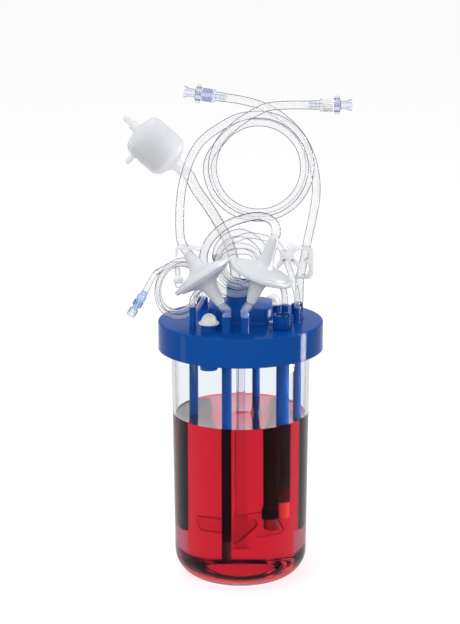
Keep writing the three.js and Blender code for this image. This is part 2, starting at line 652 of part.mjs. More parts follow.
function stopper() {
  const seatHeight = PLATE_TOP + STOPPER_BOSS_HEIGHT;
  const flangeTop = seatHeight + STOPPER_FLANGE_THICKNESS;
  const plug = STOPPER_BORE - FIT;
  const shoulder = STOPPER_FLANGE_RADIUS - 0.6;
  return turned([
    [0, seatHeight - STOPPER_PLUG_LENGTH],
    [plug, seatHeight - STOPPER_PLUG_LENGTH],
    [plug, seatHeight],
    [shoulder, seatHeight],
    [STOPPER_FLANGE_RADIUS, seatHeight + STOPPER_FLANGE_THICKNESS / 2],
    [shoulder, flangeTop],
    [STOPPER_DOME_RADIUS, flangeTop + STOPPER_DOME_HEIGHT * 0.15],
    [STOPPER_DOME_RADIUS * 0.8, flangeTop + STOPPER_DOME_HEIGHT * 0.6],
    [STOPPER_DOME_RADIUS * 0.45, flangeTop + STOPPER_DOME_HEIGHT * 0.93],
    [0, flangeTop + STOPPER_DOME_HEIGHT],
  ], LOW_ROUND);
}
place('front_stopper', moved(stopper(), ...frontStopperAt), whitePlastic);
place('rear_stopper', moved(stopper(), ...rearStopperAt), whitePlastic);

// -- Magnetic drive and impeller

place('drive_shaft', rod(SHAFT_RADIUS, SHAFT_FOOT, SHAFT_TOP, SMALL_ROUND), clearPlastic);
const hubBore = SHAFT_RADIUS + FIT;
place('magnet_rotor', turned([
  [0, ROTOR_TOP - ROTOR_FLOOR],
  [hubBore, ROTOR_TOP - ROTOR_FLOOR],
  [hubBore, ROTOR_FOOT],
  [ROTOR_RADIUS, ROTOR_FOOT],
  [ROTOR_RADIUS, ROTOR_TOP],
  [0, ROTOR_TOP],
], MEDIUM_ROUND), rotorPlastic);
const bushFoot = PLATE_UNDERSIDE - BUSH_LENGTH;
const bushBore = SHAFT_RADIUS + RUNNING_FIT;
place('shaft_bush', turned([
  [bushBore, bushFoot - BUSH_FLANGE_THICKNESS],
  [BUSH_FLANGE_RADIUS, bushFoot - BUSH_FLANGE_THICKNESS],
  [BUSH_FLANGE_RADIUS, bushFoot],
  [ROTOR_CAVITY - FIT, bushFoot],
  [ROTOR_CAVITY - FIT, BUSH_TOP],
  [bushBore, BUSH_TOP],
  [bushBore, bushFoot - BUSH_FLANGE_THICKNESS],
], LOW_ROUND), whitePlastic);
place('thrust_washer', ring(bushBore, ROTOR_RADIUS, BUSH_TOP, WASHER_TOP, LOW_ROUND), filterPlastic);

function impeller() {
  const bladeReach = IMPELLER_RADIUS - (IMPELLER_HUB_RADIUS - 1);
  const pitch = THREE.MathUtils.degToRad(BLADE_PITCH);
  const blades = Array.from({ length: BLADE_COUNT }, (_, i) => {
    const blade = new THREE.BoxGeometry(bladeReach, BLADE_WIDTH, BLADE_THICKNESS);
    blade.rotateX(pitch);
    blade.translate(IMPELLER_RADIUS - bladeReach / 2, 0, BLADE_CENTRE);
    blade.rotateZ(THREE.MathUtils.degToRad(FIRST_BLADE + 360 * i / BLADE_COUNT));
    return solid(blade);
  });
  const hub = rod(IMPELLER_HUB_RADIUS, SHAFT_FOOT, SHAFT_FOOT + IMPELLER_HUB_HEIGHT, LOW_ROUND);
  const envelope = rod(IMPELLER_RADIUS, SHAFT_FOOT - BLADE_WIDTH, BLADE_CENTRE + BLADE_WIDTH, ROUND);
  return join([hub, ...blades])
    .intersect(envelope)
    .subtract(rod(hubBore, SHAFT_FOOT - 1, SHAFT_FOOT + IMPELLER_HUB_HEIGHT + 1, SMALL_ROUND));
}
place('impeller', impeller(), clearPlastic);

// -- Vent filters: a welded disc housing with a stem each side, on a sleeve over the port's barb

function ventFilter(upperLength, lowerLength) {
  const rim = FILTER_RIM_THICKNESS / 2;
  const stemStart = FILTER_DOME_HEIGHT + FILTER_STEM_FLARE;
  const half = (length, side) => [
    [FILTER_STEM_TIP, side * length],
    [FILTER_STEM_ROOT, side * (stemStart + FILTER_STEM_COLLAR)],
    [FILTER_STEM_ROOT + FILTER_STEM_FLARE, side * stemStart],
    [FILTER_DOME_FLAT, side * (FILTER_DOME_HEIGHT - FILTER_WELD)],
    [FILTER_DOME_RADIUS, side * (rim + FILTER_WELD / 2)],
    [FILTER_RIM_RADIUS - FILTER_WELD, side * rim],
  ];
  return turned([
    [0, -lowerLength],
    ...half(lowerLength, -1),
    [FILTER_RIM_RADIUS, 0],
    ...half(upperLength, 1).reverse(),
    [0, upperLength],
  ], MEDIUM_ROUND);
}

const filterA = { centre: [-27.8, -41.6, PLATE_TOP + FILTER_A_RISE],
  axis: unit(-0.5446, 0.1972, 0.8152), up: 21.4, down: 24.6 };
const filterB = { centre: [15.4, -45, PLATE_TOP + FILTER_B_RISE],
  axis: unit(0.3338, -0.0551, 0.941), up: 29.6, down: 24 };
for (const [name, filter] of [['gas_filter_a', filterA], ['gas_filter_b', filterB]]) {
  place(name, ventFilter(filter.up, filter.down), filterPlastic, seat(filter.centre, filter.axis));
}

// The point on a filter's axis so far from its centre
function onAxis({ centre, axis }, distance) {
  return centre.map((value, i) => value + axis[i] * distance);
}

function sleeve(name, port, filter) {
  const [x, y] = ports[port].at;
  const foot = portTop(port) + FIT;
  const points = [
    [x, y, foot],
    [x, y, foot + BARB_LENGTH],
    onAxis(filter, -filter.down - STEM_REACH),
    onAxis(filter, -filter.down - FIT),
  ];
  place(name, tube(points, SLEEVE_RADIUS, SMALL_ROUND, BARB_RADIUS + BARB_RIDGE + FIT), clearTubing);
}
sleeve('filter_sleeve_a', 'sparge', filterA);
sleeve('filter_sleeve_b', 'overlay', filterB);

// -- Exhaust filter capsule

const CAPSULE_REACH = CAPSULE_LENGTH / 2 + CAPSULE_DOME + CAPSULE_NECK_LENGTH;
const capsule = { centre: [-63.8, 8, 336.2], axis: unit(0.736, 0, -0.677) };
function exhaustFilter() {
  const half = CAPSULE_LENGTH / 2;
  const dome = half + CAPSULE_DOME;
  const body = turned([
    [0, -dome - CAPSULE_BARB_LENGTH],
    [CAPSULE_BARB_TIP, -dome - CAPSULE_BARB_LENGTH],
    [CAPSULE_BARB_WAIST, -dome - CAPSULE_BARB_STEP],
    [CAPSULE_BARB_RADIUS, -dome - CAPSULE_BARB_STEP],
    [CAPSULE_BARB_RADIUS, -dome],
    [CAPSULE_DOME_RADIUS, -dome + 1],
    [CAPSULE_SHOULDER_RADIUS, -half - CAPSULE_SHOULDER],
    [CAPSULE_RADIUS, -half + CAPSULE_SHOULDER],
    [CAPSULE_RADIUS, half - CAPSULE_SHOULDER],
    [CAPSULE_SHOULDER_RADIUS, half + CAPSULE_SHOULDER],
    [CAPSULE_DOME_RADIUS, dome - 1],
    [CAPSULE_NECK_RADIUS, dome],
    [CAPSULE_NECK_RADIUS, dome + CAPSULE_NECK_LENGTH],
    [0, dome + CAPSULE_NECK_LENGTH],
  ], MEDIUM_ROUND);
  const vent = rod(CAPSULE_VENT_RADIUS, -FILTER_STEM_COLLAR, CAPSULE_VENT_LENGTH)
    .rotate([90, 0, 90])
    .translate([CAPSULE_RADIUS, 0, -half + CAPSULE_VENT_INSET]);
  return body.add(vent);
}
place('exhaust_filter', exhaustFilter(), filterPlastic, seat(capsule.centre, capsule.axis));

// -- Tubing. Each line's free stretch is a tube, and each coil is the ring of its outer shape

function line(name, points, radius) {
  place(name, tube(points, radius, TUBE_ROUND), clearTubing);
}

// A coil of tubing: a ring with rounded edges about a local Y axis, turned about Z and tilted
function coil(name, { centre, inner, outer, thickness, stretch = [1, 1], yaw = 0, tilt = 0 }) {
  const half = thickness / 2;
  const edge = Math.min(half, (outer - inner) / 2) * 0.45;
  const outline = [
    [inner + edge, -half], [outer - edge, -half], [outer, -half + edge], [outer, half - edge],
    [outer - edge, half], [inner + edge, half], [inner, half - edge], [inner, -half + edge],
    [inner + edge, -half],
  ];
  const body = turned(outline, MEDIUM_ROUND)
    .rotate([90, 0, 0])
    .scale([stretch[0], 1, stretch[1]])
    .rotate([tilt, 0, 0])
    .rotate([0, 0, yaw])
    .translate(centre);
  place(name, body, clearTubing);
}

const gasCoil = { centre: [13.4, -8, 322.6], inner: 31.2, outer: 41.8, thickness: 11 };
const centreCoil = { centre: [-1.2, -12, 250], inner: 13, outer: 24.5, thickness: 9,
  stretch: [0.92, 1.08], tilt: -16 };
const sampleCoil = { centre: [-45.6, -15, 231.4], inner: 16, outer: 24.2, thickness: 8, yaw: 35 };
coil('gas_line_a_coil', gasCoil);
coil('centre_coil', centreCoil);
coil('sampling_line_coil', sampleCoil);

const gasRoute = [
  onAxis(filterA, filterA.up + FIT),
  onAxis(filterA, filterA.up + 5),
  [-43.9, -34.4, 271.6],
  [-45, -31.6, 278.4],
  [-45.2, -28.5, 288],
  [-44.6, -23.5, 301],
  [-42.2, -18.5, 315],
  [-37.6, -14.5, 329],
  [-31.6, -11.8, 339.6],
  [-24.4, -10, 346.8],
];
line('gas_line_a_rise', gasRoute, LINE_RADIUS);
const gasEnd = [58.6, -8, 369.2];
const gasEndRoute = [
  [18, -8, 367.1],
  [25.5, -8, 368.6],
  [36.6, -8, 369.2],
  [48.5, -8, 369.2],
  gasEnd,
];
line('gas_line_a_end', gasEndRoute, LINE_RADIUS);

const feedEnd = [-18.6, 4, 374.2];
const feedRoute = [
  [...ports.feed.at, portTop('feed') + FIT],
  [45, 3, 227.4],
  [45.3, 2.5, 235.4],
  [46.8, 2, 243.3],
  [48.6, 1, 252.1],
  [49.9, 0, 260.1],
  [51.5, 0, 268.6],
  [53.3, 0, 277.1],
  [55.7, 1, 289.9],
  [57.1, 2, 302],
  [56.3, 3, 314.8],
  [53.4, 4, 327.6],
  [48, 4, 339.7],
  [40.8, 4, 349.6],
  [31.8, 4, 357.9],
  [22, 4, 364.3],
  [11.5, 4, 368.5],
  [-0.1, 4, 371.4],
  [-9.4, 4, 372.9],
  feedEnd,
];
line('feed_line', feedRoute, LINE_RADIUS);

const loopRoute = [
  onAxis(filterB, filterB.up + FIT),
  onAxis(filterB, filterB.up + 2.6),
  [25.6, -46, 285.2],
  [22.2, -43, 289.2],
  [16.2, -39, 291],
  [8.6, -33.6, 290],
  [1, -29, 287.2],
  [-6.6, -25.2, 283.8],
  [-13.8, -22.6, 279.2],
  [-19.8, -20.2, 273.4],
  [-24.4, -18, 266.8],
  [-27.2, -15.8, 260],
  [-28, -13.8, 254],
  [-27.4, -12.2, 248.8],
];
line('gas_line_b_loop', loopRoute, LINE_RADIUS);

const harvestRoute = [
  [...ports.harvest.at, portTop('harvest') + FIT],
  [42.6, -12.5, 224.8],
  [40.7, -13, 233.5],
  [38.4, -14, 241.4],
  [35.9, -15, 248.6],
  [33.6, -15.6, 255.7],
  [30.6, -14.6, 261.8],
  [26.4, -12, 265.8],
  [21.8, -9.6, 268.2],
  [17, -7.3, 269.4],
];
line('harvest_line', harvestRoute, THIN_LINE_RADIUS);
const recycleRoute = [
  [...ports.recycle.at, portTop('recycle') + FIT],
  [33.9, 1.6, 219.6],
  [32.6, -1, 227.4],
  [28.2, -6.6, 234.4],
  [21.3, -13.7, 239.6],
];
line('recycle_line', recycleRoute, THIN_LINE_RADIUS);

const samplingStart = [
  [...ports.sample.at, portTop('sample') + FIT],
  [-36.2, -26, 224.2],
  [-34.5, -23.6, 228],
  [-31.5, -19, 230.4],
  [-28.6, -14, 232],
  [-26.4, -9.4, 235.6],
];
line('sampling_line_start', samplingStart, SAMPLE_LINE_RADIUS);
const valveHead = [-71.2, -30.4, 232.4];
const samplingEnd = [
  [-63.6, -27.8, 245.6],
  [-67.4, -29.3, 239.8],
  [-70.1, -30.2, 234.4],
  valveHead,
];
line('sampling_line_end', samplingEnd, SAMPLE_LINE_RADIUS);

const exhaustRoute = [
  onAxis(capsule, CAPSULE_REACH + FIT),
  onAxis(capsule, CAPSULE_REACH + 3.6),
  [-33.8, 9.4, 303],
  [-26.4, 13, 291.5],
  [-20.3, 17, 281],
  [-15, 22, 270.8],
  [-9.7, 28, 258.8],
  [-6.2, 35, 245.7],
  [-4.4, 41, 233],
  [ports.exhaust.at[0], ports.exhaust.at[1], 224],
  [...ports.exhaust.at, portTop('exhaust') + FIT],
];
line('exhaust_line', exhaustRoute, EXHAUST_LINE_RADIUS);

// -- Luer connectors: a barbed body with a flanged nut, and a lock ring that spins on its neck

function connectorBody() {
  const neck = CONNECTOR_FLANGE_LENGTH + LOCK_RING_LENGTH + 2 * RUNNING_FIT;
  const barrel = neck + NUT_LENGTH;
  const flare = barrel + BARREL_LENGTH;
  const end = flare + FLARE_LENGTH;
  const body = turned([
    [0, 0],
    [CONNECTOR_FLANGE_RADIUS, 0],
    [CONNECTOR_FLANGE_RADIUS, CONNECTOR_FLANGE_LENGTH],
    [CONNECTOR_NECK_RADIUS, CONNECTOR_FLANGE_LENGTH],
    [CONNECTOR_NECK_RADIUS, neck],
    [NUT_CORE, neck],
    [NUT_CORE, barrel],
    [BARREL_RADIUS, barrel + WING_INSET],
    [BARREL_RADIUS, flare],
    [FLARE_RADIUS, end - FLARE_LIP],
    [FLARE_RADIUS, end],
    [CONNECTOR_BORE + CONNECTOR_TAPER, end],
    [CONNECTOR_BORE, barrel],
    [0, barrel],
  ], CONNECTOR_ROUND);
  const wings = Array.from({ length: NUT_WINGS }, (_, i) => {
    const wing = new THREE.BoxGeometry(WING_DEPTH, WING_WIDTH, NUT_LENGTH - 2 * WING_INSET);
    wing.translate(NUT_RADIUS - WING_DEPTH / 2, 0, neck + NUT_LENGTH / 2);
    wing.rotateZ(2 * Math.PI * i / NUT_WINGS);
    return solid(wing);
  });
  return join([body, ...wings]);
}

function lockRing() {
  const foot = CONNECTOR_FLANGE_LENGTH + RUNNING_FIT;
  const bore = CONNECTOR_NECK_RADIUS + RUNNING_FIT;
  return ring(bore, LOCK_RING_RADIUS, foot, foot + LOCK_RING_LENGTH, LOW_ROUND);
}

const spareEnd = [-19.6, 9.2, 242.4];
const spareAxis = unit(-0.72, 0.42, -0.55);
const CONNECTOR_BARB = 3;     // straight end of a line before its connector
const connectors = [
  ['gas_connector_a', gasEnd, [1, 0, 0.001], whitePlastic],
  ['feed_connector', feedEnd, [-0.989, 0, 0.146], tintedPlastic],
  ['gas_connector_b', spareEnd, spareAxis, whitePlastic],
];
for (const [name, end, direction, ringFinish] of connectors) {
  const axis = unit(...direction);
  const origin = end.map((value, i) => value + axis[i] * FIT);
  const group = seat(origin, direction);
  place(`${name}_body`, connectorBody(), tintedPlastic, group);
  place(`${name}_lock_ring`, lockRing(), ringFinish, group);
}
const spareRoute = [
  [-17.4, -6.8, 247.4],
  [-17, 1.2, 247.2],
  spareEnd.map((value, i) => value - spareAxis[i] * CONNECTOR_BARB),
  spareEnd,
];
line('gas_line_b_end', spareRoute, LINE_RADIUS);

// -- Sampling valve and the blanked branch on the sampling coil

const valveAxis = unit(-0.527, 0, -0.85);
const valveOrigin = valveHead.map((value, i) => value + valveAxis[i] * FIT);
const valveGroup = seat(valveOrigin, valveAxis);
const valveTop = VALVE_NECK_LENGTH + VALVE_CHAMFER;
const valveFoot = valveTop + VALVE_LENGTH;
const spoutEnd = valveFoot + VALVE_CHAMFER + VALVE_SPOUT_LENGTH;
place('sampling_valve_body', turned([
  [0, 0],
  [VALVE_NECK_RADIUS, 0],
  [VALVE_NECK_RADIUS, VALVE_NECK_LENGTH],
  [VALVE_RADIUS, valveTop],
  [VALVE_RADIUS, valveFoot],
  [VALVE_SPOUT_RADIUS, valveFoot + VALVE_CHAMFER],
  [VALVE_SPOUT_RADIUS, spoutEnd],
  [0, spoutEnd],
], LOW_ROUND), valvePlastic, valveGroup);
const valveCapEnd = spoutEnd + FIT + VALVE_CAP_LENGTH;
place('sampling_valve_cap', turned([
  [0, spoutEnd + FIT],
  [VALVE_CAP_RADIUS, spoutEnd + FIT],
  [VALVE_CAP_RADIUS, valveCapEnd - VALVE_CHAMFER],
  [VALVE_CAP_RADIUS - VALVE_CHAMFER, valveCapEnd],
  [0, valveCapEnd],
], LOW_ROUND), tintedPlastic, valveGroup);

const branchTop = [-47.6, -16.4, 246.5];
const branch = seat(branchTop, [0.1, 0, -1]);
const branchCapEnd = BRANCH_LENGTH + FIT + BRANCH_CAP_LENGTH;
const plugFoot = branchCapEnd + FIT;
place('branch_stub', rod(SAMPLE_LINE_RADIUS, 0, BRANCH_LENGTH), clearTubing, branch);
place('branch_cap', rod(BRANCH_CAP_RADIUS, BRANCH_LENGTH + FIT, branchCapEnd, LOW_ROUND),
  tintedPlastic, branch);
place('branch_plug', turned([
  [0, plugFoot],
  [BRANCH_PLUG_RADIUS - BRANCH_PLUG_EDGE, plugFoot],
  [BRANCH_PLUG_RADIUS, plugFoot + BRANCH_PLUG_EDGE],
  [BRANCH_PLUG_RADIUS - BRANCH_PLUG_EDGE, plugFoot + BRANCH_PLUG_LENGTH],
  [0, plugFoot + BRANCH_PLUG_LENGTH],
], LOW_ROUND), whitePlastic, branch);

// -- Pinch clamps: each one moulding with a springy back, pierced by its tube

// A plate cut to [x, height] outlines, so deep from front to back about a place
function plate(outlines, depth, y) {
  return join(outlines.map((outline) => extruded(outline, depth)))
    .translate([0, 0, -depth / 2])
    .rotate([90, 0, 0])
    .translate([0, y, 0]);
}

function pinchClamp(name, outlines, y, route, tubeRadius) {
  const way = tube(route, tubeRadius + CLAMP_FIT, SMALL_ROUND, 0, tubeRadius * 5);
  place(name, plate(outlines, CLAMP_DEPTH, y).subtract(way), whitePlastic);
}
const feedClamp = [
  [42, 258.9], [50.4, 258.9], [52, 256.6], [51.4, 251.4], [47.6, 249.4], [51.6, 247.4],
  [51.9, 240.6], [50.2, 238], [41, 237.6], [41, 236], [52.6, 236.4], [55.1, 239.4],
  [55.1, 257.4], [51.6, 260.5], [42, 260.5],
];
pinchClamp('feed_clamp', [feedClamp], 0.6, feedRoute, LINE_RADIUS);
const harvestClamp = [
  [[38.6, 266.3], [34.4, 262.3], [35.4, 259], [39.4, 258.3], [43.1, 262.1]],
  [[30, 260.4], [39.4, 260.4], [40.4, 253.3], [29.8, 253.3]],
  [[32.8, 255.8], [30.4, 253.4], [26.9, 248.8], [28.3, 247.4], [34, 253.6]],
  [[39.2, 255.2], [45.1, 249.3], [43.7, 247.9], [36.4, 253.6]],
];
pinchClamp('harvest_clamp', harvestClamp, -15.2, harvestRoute, THIN_LINE_RADIUS);
const gasClamp = [
  [-47.8, 267.2], [-46.4, 268.8], [-37.6, 268.4], [-33.8, 267.5], [-30.8, 267],
  [-28, 269.2], [-27.4, 268.4], [-30.5, 265.3], [-33.8, 265.5], [-38.4, 266.6],
  [-46.4, 266.4], [-46.8, 261.2], [-48.2, 261.2],
];
pinchClamp('gas_clamp', [gasClamp], -35.4, gasRoute, LINE_RADIUS);

export default bioreactor;
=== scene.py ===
"""Finished pieces for a one litre bench bioreactor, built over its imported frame.

Lengths are in metres and angles in radians. +Z is up, the origin is on the bench under the
vessel's axis, and the front of the object looks towards -Y.
"""
from math import cos, hypot, log, pi, radians, sin, tau

import bmesh
import bpy
from bpy.props import FloatProperty, FloatVectorProperty, IntProperty, PointerProperty
from mathutils import Matrix, Vector


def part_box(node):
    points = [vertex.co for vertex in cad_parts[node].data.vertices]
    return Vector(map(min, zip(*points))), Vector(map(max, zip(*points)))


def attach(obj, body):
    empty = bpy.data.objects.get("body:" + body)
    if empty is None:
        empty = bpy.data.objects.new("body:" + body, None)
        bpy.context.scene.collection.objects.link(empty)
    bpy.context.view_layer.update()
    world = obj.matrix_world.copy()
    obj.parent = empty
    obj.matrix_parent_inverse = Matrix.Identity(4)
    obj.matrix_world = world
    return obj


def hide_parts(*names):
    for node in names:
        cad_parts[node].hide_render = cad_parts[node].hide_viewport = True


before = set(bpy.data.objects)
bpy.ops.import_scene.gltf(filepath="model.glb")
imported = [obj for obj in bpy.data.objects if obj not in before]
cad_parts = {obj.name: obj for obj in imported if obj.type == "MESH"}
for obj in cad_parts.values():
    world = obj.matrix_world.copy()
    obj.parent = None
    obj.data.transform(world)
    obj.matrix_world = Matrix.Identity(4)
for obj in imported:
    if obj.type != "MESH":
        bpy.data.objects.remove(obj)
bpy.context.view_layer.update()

bl_info = {
    "name": "Bench bioreactor",
    "version": (1, 0, 0),
    "blender": (4, 5, 0),
    "location": "3D View > Sidebar > Bioreactor",
    "description": "Builds the finished pieces of a one litre stirred bioreactor over its frame",
    "category": "Add Mesh",
}

STATIC = "vessel_assembly"
SPINNING = "impeller_drive"
FIT = 0.0003                 # gap where one piece is pressed or slid into another
WEB = 0.00005                # overlap of two clear bodies that touch, so that no air shows between
SWELL = 0.0002               # how far a tube's ends stretch over what they are pushed on
SWELL_REACH = 0.008          # how far from its ends that stretch goes
BUMP_HEIGHT = 0.0004         # height of a moulded surface's marks


# ---- Places read from the frame -------------------------------------------------------------

def upright(node):
    """Centre, radius, foot and top of an upright round CAD node."""
    low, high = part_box(node)
    centre = (low + high) / 2
    return Vector((centre.x, centre.y, 0)), (high.x - low.x) / 2, low.z, high.z


VESSEL_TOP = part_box("vessel")[1].z
RIM_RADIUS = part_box("vessel")[1].x
PAINTED_PALE_FOOT_TOP = 0.042       # below this height the medium's sides are painted pale where they turn away, above it they are painted dark
LIQUID_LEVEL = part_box("culture_medium")[1].z
SKIRT_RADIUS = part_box("head_plate")[1].x
TOWER_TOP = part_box("head_plate")[1].z
PLATE_THICKNESS = 0.0054
SKIRT_HEIGHT = 0.0222
PLATE_TOP = VESSEL_TOP + PLATE_THICKNESS
SKIRT_BOTTOM = PLATE_TOP - SKIRT_HEIGHT
ROOT = PLATE_TOP - 0.001     # where what stands on the plate begins inside it
STOPPERS = ("front_stopper", "rear_stopper")
STOPPER_SEAT = PLATE_TOP + 0.005


def on_circle(radius, angle):
    return Vector((radius * cos(radians(angle)), radius * sin(radians(angle)), 0))


PORT_CIRCLE = 0.0446
INNER_CIRCLE = 0.034

# Each port: where it stands, its post's radius and height, and whether it ends in a barb
PORTS = {
    "sample": (on_circle(PORT_CIRCLE, -143.9), 0.0025, 0.0159, False),
    "sparge": (on_circle(PORT_CIRCLE, -103.4), 0.0034, 0.0124, True),
    "overlay": (on_circle(PORT_CIRCLE, -85.7), 0.0034, 0.0124, True),
    "harvest": (on_circle(PORT_CIRCLE, -15.4), 0.0025, 0.012, False),
    "feed": (on_circle(PORT_CIRCLE, 3.8), 0.0034, 0.0124, False),
    "addition": (on_circle(PORT_CIRCLE, 21), 0.0025, 0.0086, False),
    "recycle": (on_circle(INNER_CIRCLE, 3.4), 0.0025, 0.0108, False),
    "spare": (on_circle(PORT_CIRCLE, 132), 0.0044, 0.0094, False),
    "exhaust": (on_circle(PORT_CIRCLE, 95), 0.004, 0.0124, False),
}


def port_top(name):
    place, _, height, _ = PORTS[name]
    return place + Vector((0, 0, PLATE_TOP + height + FIT))


class Axis:
    """A place and a direction, for pieces that lean."""

    def __init__(self, place, direction):
        self.place = Vector(place)
        self.direction = Vector(direction).normalized()

    def at(self, distance):
        return self.place + self.direction * distance

    def matrix(self):
        turn = Vector((0, 0, 1)).rotation_difference(self.direction).to_matrix().to_4x4()
        return Matrix.Translation(self.place) @ turn


FILTER_A = Axis((-0.0278, -0.0416, 0.2465), (-0.5446, 0.1972, 0.8152))
FILTER_B = Axis((0.0154, -0.045, 0.2496), (0.3338, -0.0551, 0.941))
STEM_A = (0.0214, 0.0246)    # upper and lower stem of the left filter
STEM_B = (0.0296, 0.024)
CAPSULE = Axis((-0.0638, 0.008, 0.3362), (0.736, 0, -0.677))
CAPSULE_REACH = 0.03
GAS_END_A = Axis((0.0586, -0.008, 0.3692), (1, 0, 0.001))
FEED_END = Axis((-0.0186, 0.004, 0.3742), (-0.989, 0, 0.146))
GAS_END_B = Axis((-0.0196, 0.0092, 0.2424), (-0.72, 0.42, -0.55))
VALVE = Axis((-0.0712, -0.0304, 0.2324), (-0.527, 0, -0.85))
BRANCH = Axis((-0.0476, -0.0164, 0.2465), (0.1, 0, -1))


# ---- Sizes and colours that a user would change ---------------------------------------------

def length(name, default, text):
    return FloatProperty(name=name, default=default, min=0, unit="LENGTH", precision=5,
                         description=text)


def colour(name, default, text):
    return FloatVectorProperty(name=name, default=default, min=0, max=1, size=3,
                               subtype="COLOR", description=text)


class BioreactorVessel(bpy.types.PropertyGroup):
    radius: length("Radius", 0.0534, "Outside radius of the vessel at its rim")
    draft: length("Draft", 0.002, "How much narrower the foot is than the rim")
    wall: length("Wall", 0.0022, "Thickness of the vessel's wall")
    floor: length("Floor", 0.0036, "Thickness of the vessel's floor")
    fillet: length("Fillet", 0.02, "Outside rounding between wall and floor")
    meniscus: length("Meniscus", 0.0009, "How far the medium climbs up the wall")
    rounding: length("Plate rounding", 0.0012, "Rounding of the head plate's top edge")
    facets: IntProperty(name="Facets", default=128, min=24, description="Facets round the vessel")


class BioreactorTubing(bpy.types.PropertyGroup):
    line: length("Line radius", 0.003175, "Outside radius of the gas and feed lines")
    thin: length("Thin line radius", 0.0023, "Outside radius of the harvest line")
    sample: length("Sampling line radius", 0.002, "Outside radius of the sampling line")
    exhaust: length("Exhaust line radius", 0.004, "Outside radius of the exhaust line")
    bore: FloatProperty(name="Bore", default=0.62, min=0.1, max=0.9,
                        description="Bore of every tube as a share of its outside radius")
    step: length("Step", 0.0016, "Spacing of the rings of a tube")
    sides: IntProperty(name="Sides", default=28, min=8, description="Sides of a tube's section")


class BioreactorFinish(bpy.types.PropertyGroup):
    blue: colour("Blue", (0.004, 0.079, 0.37), "Moulded head plate, dip tubes and cap")
    medium: colour("Medium", (0.69, 0.031, 0.058), "Colour seen through the vessel of medium")
    # Painted sheen: the pale pink base colour of the medium's top surface, in place of its red
    surface: colour("Surface", (0.96, 0.6, 0.75), "Colour that the medium's surface adds")
    dye: colour("Dye", (0.97, 0.84, 0.87), "What the medium itself adds over its depth")
    depth: length("Depth", 0.02, "Depth of medium that gives the dye's colour")
    clear: colour("Clear", (0.89, 0.912, 0.932), "Clear vessel plastic")
    tubing: colour("Tubing", (0.955, 0.957, 0.964), "Clear soft tubing")
    lilac: colour("Tinted plastic", (0.89, 0.91, 0.97), "Clear plastic of the fittings")
    valve: colour("Valve", (0.47, 0.6, 0.86), "Blue clear plastic of the sampling valve")
    white: colour("White", (0.9, 0.89, 0.875), "Stoppers, rings and washers")
    filter: colour("Filter", (0.69, 0.705, 0.74), "Housings of the filters")


class BioreactorStage(bpy.types.PropertyGroup):
    distance: length("Camera distance", 1.5, "Distance from the camera to its target")
    target: length("Target height", 0.2093, "Height that the camera looks at")
    elevation: FloatProperty(name="Elevation", default=radians(13.65), subtype="ANGLE",
                             description="Height of the camera above the horizon")
    lens: FloatProperty(name="Focal length", default=153.47, min=1,
                        description="Focal length of the camera, in millimetres")
    shift: FloatProperty(name="Shift", default=-0.02304,
                         description="Sideways shift of the camera's frame")
    floor: length("Floor radius", 9.0, "Radius of the pale floor")
    ambient: FloatProperty(name="Ambient", default=0.68, min=0,
                           description="Light from the surroundings on the object")
    lamps: FloatProperty(name="Lamps", default=1.0, min=0,
                         description="Strength of the studio lamps")


SETTINGS = {"vessel": BioreactorVessel, "tubing": BioreactorTubing,
            "finish": BioreactorFinish, "stage": BioreactorStage}


def settings(name):
    return getattr(bpy.context.scene, "bioreactor_" + name)


# ---- Meshes ---------------------------------------------------------------------------------

def rounded(profile, radius, steps=3):
    """An outline with its corners rounded, its two ends kept."""
    points = [Vector(point) for point in profile]
    out = [points[0]]
    for before, corner, after in zip(points, points[1:], points[2:]):
        back, ahead = before - corner, after - corner
        reach = min(radius, back.length * 0.45, ahead.length * 0.45)
        if reach < 1e-6:
            out.append(corner)
            continue
        start = corner + back.normalized() * reach
        end = corner + ahead.normalized() * reach
        for i in range(steps + 1):
            share = i / steps
            out.append(start.lerp(corner, share).lerp(corner.lerp(end, share), share))
    return out + [points[-1]]


def arc(centre_radius, centre_height, radius, start, end, steps):
    """Points of an arc in a turned outline; angles in degrees."""
    angles = [radians(start + (end - start) * i / steps) for i in range(steps + 1)]
    return [(centre_radius + radius * cos(a), centre_height + radius * sin(a)) for a in angles]


def around(count):
    """Each place in a ring with the one after it."""
    return [(i, (i + 1) % count) for i in range(count)]


def released(bm):
    """The mesh of a bmesh, which is freed."""
    mesh = bpy.data.meshes.new("mesh")
    bm.to_mesh(mesh)
    bm.free()
    return mesh


def shaded(mesh, angle=32):
    mesh.polygons.foreach_set("use_smooth", [True] * len(mesh.polygons))
    mesh.set_sharp_from_angle(angle=radians(angle))
    return mesh


def finished(bm, angle=32):
    """The mesh of a bmesh, closed, facing outwards and smooth but for its sharp edges."""
    bmesh.ops.remove_doubles(bm, verts=bm.verts, dist=1e-7)
    bmesh.ops.recalc_face_normals(bm, faces=bm.faces)
    return shaded(released(bm), angle)


def turned(profile, segments=64, closed=False, angle=32, edge=0.0, steps=2):
    """A turned form about Z from (radius, height) points, its corners rounded by the edge.

    A closed one joins its ends, as a ring or a tube does.
    """
    if edge:
        ends = [profile[0]] if closed else []
        profile = rounded([*profile, *ends], edge, steps)[:-1 if closed else None]
    bm = bmesh.new()
    rings = []
    for radius, height in profile:
        if radius < 1e-6:
            rings.append([bm.verts.new((0, 0, height))] * segments)
        else:
            rings.append([bm.verts.new((radius * cos(tau * i / segments),
                                        radius * sin(tau * i / segments), height))
                          for i in range(segments)])
    for lower, upper in zip(rings, rings[1:] + rings[:closed]):
        for i, j in around(segments):
            corners = list(dict.fromkeys((lower[i], lower[j], upper[j], upper[i])))
            if len(corners) > 2:
                bm.faces.new(corners)
    return finished(bm, angle)


def rod(radius, foot, top, segments=32, edge=0.0):
    return turned([(0, foot), (radius, foot), (radius, top), (0, top)], segments, edge=edge,
                  steps=3)


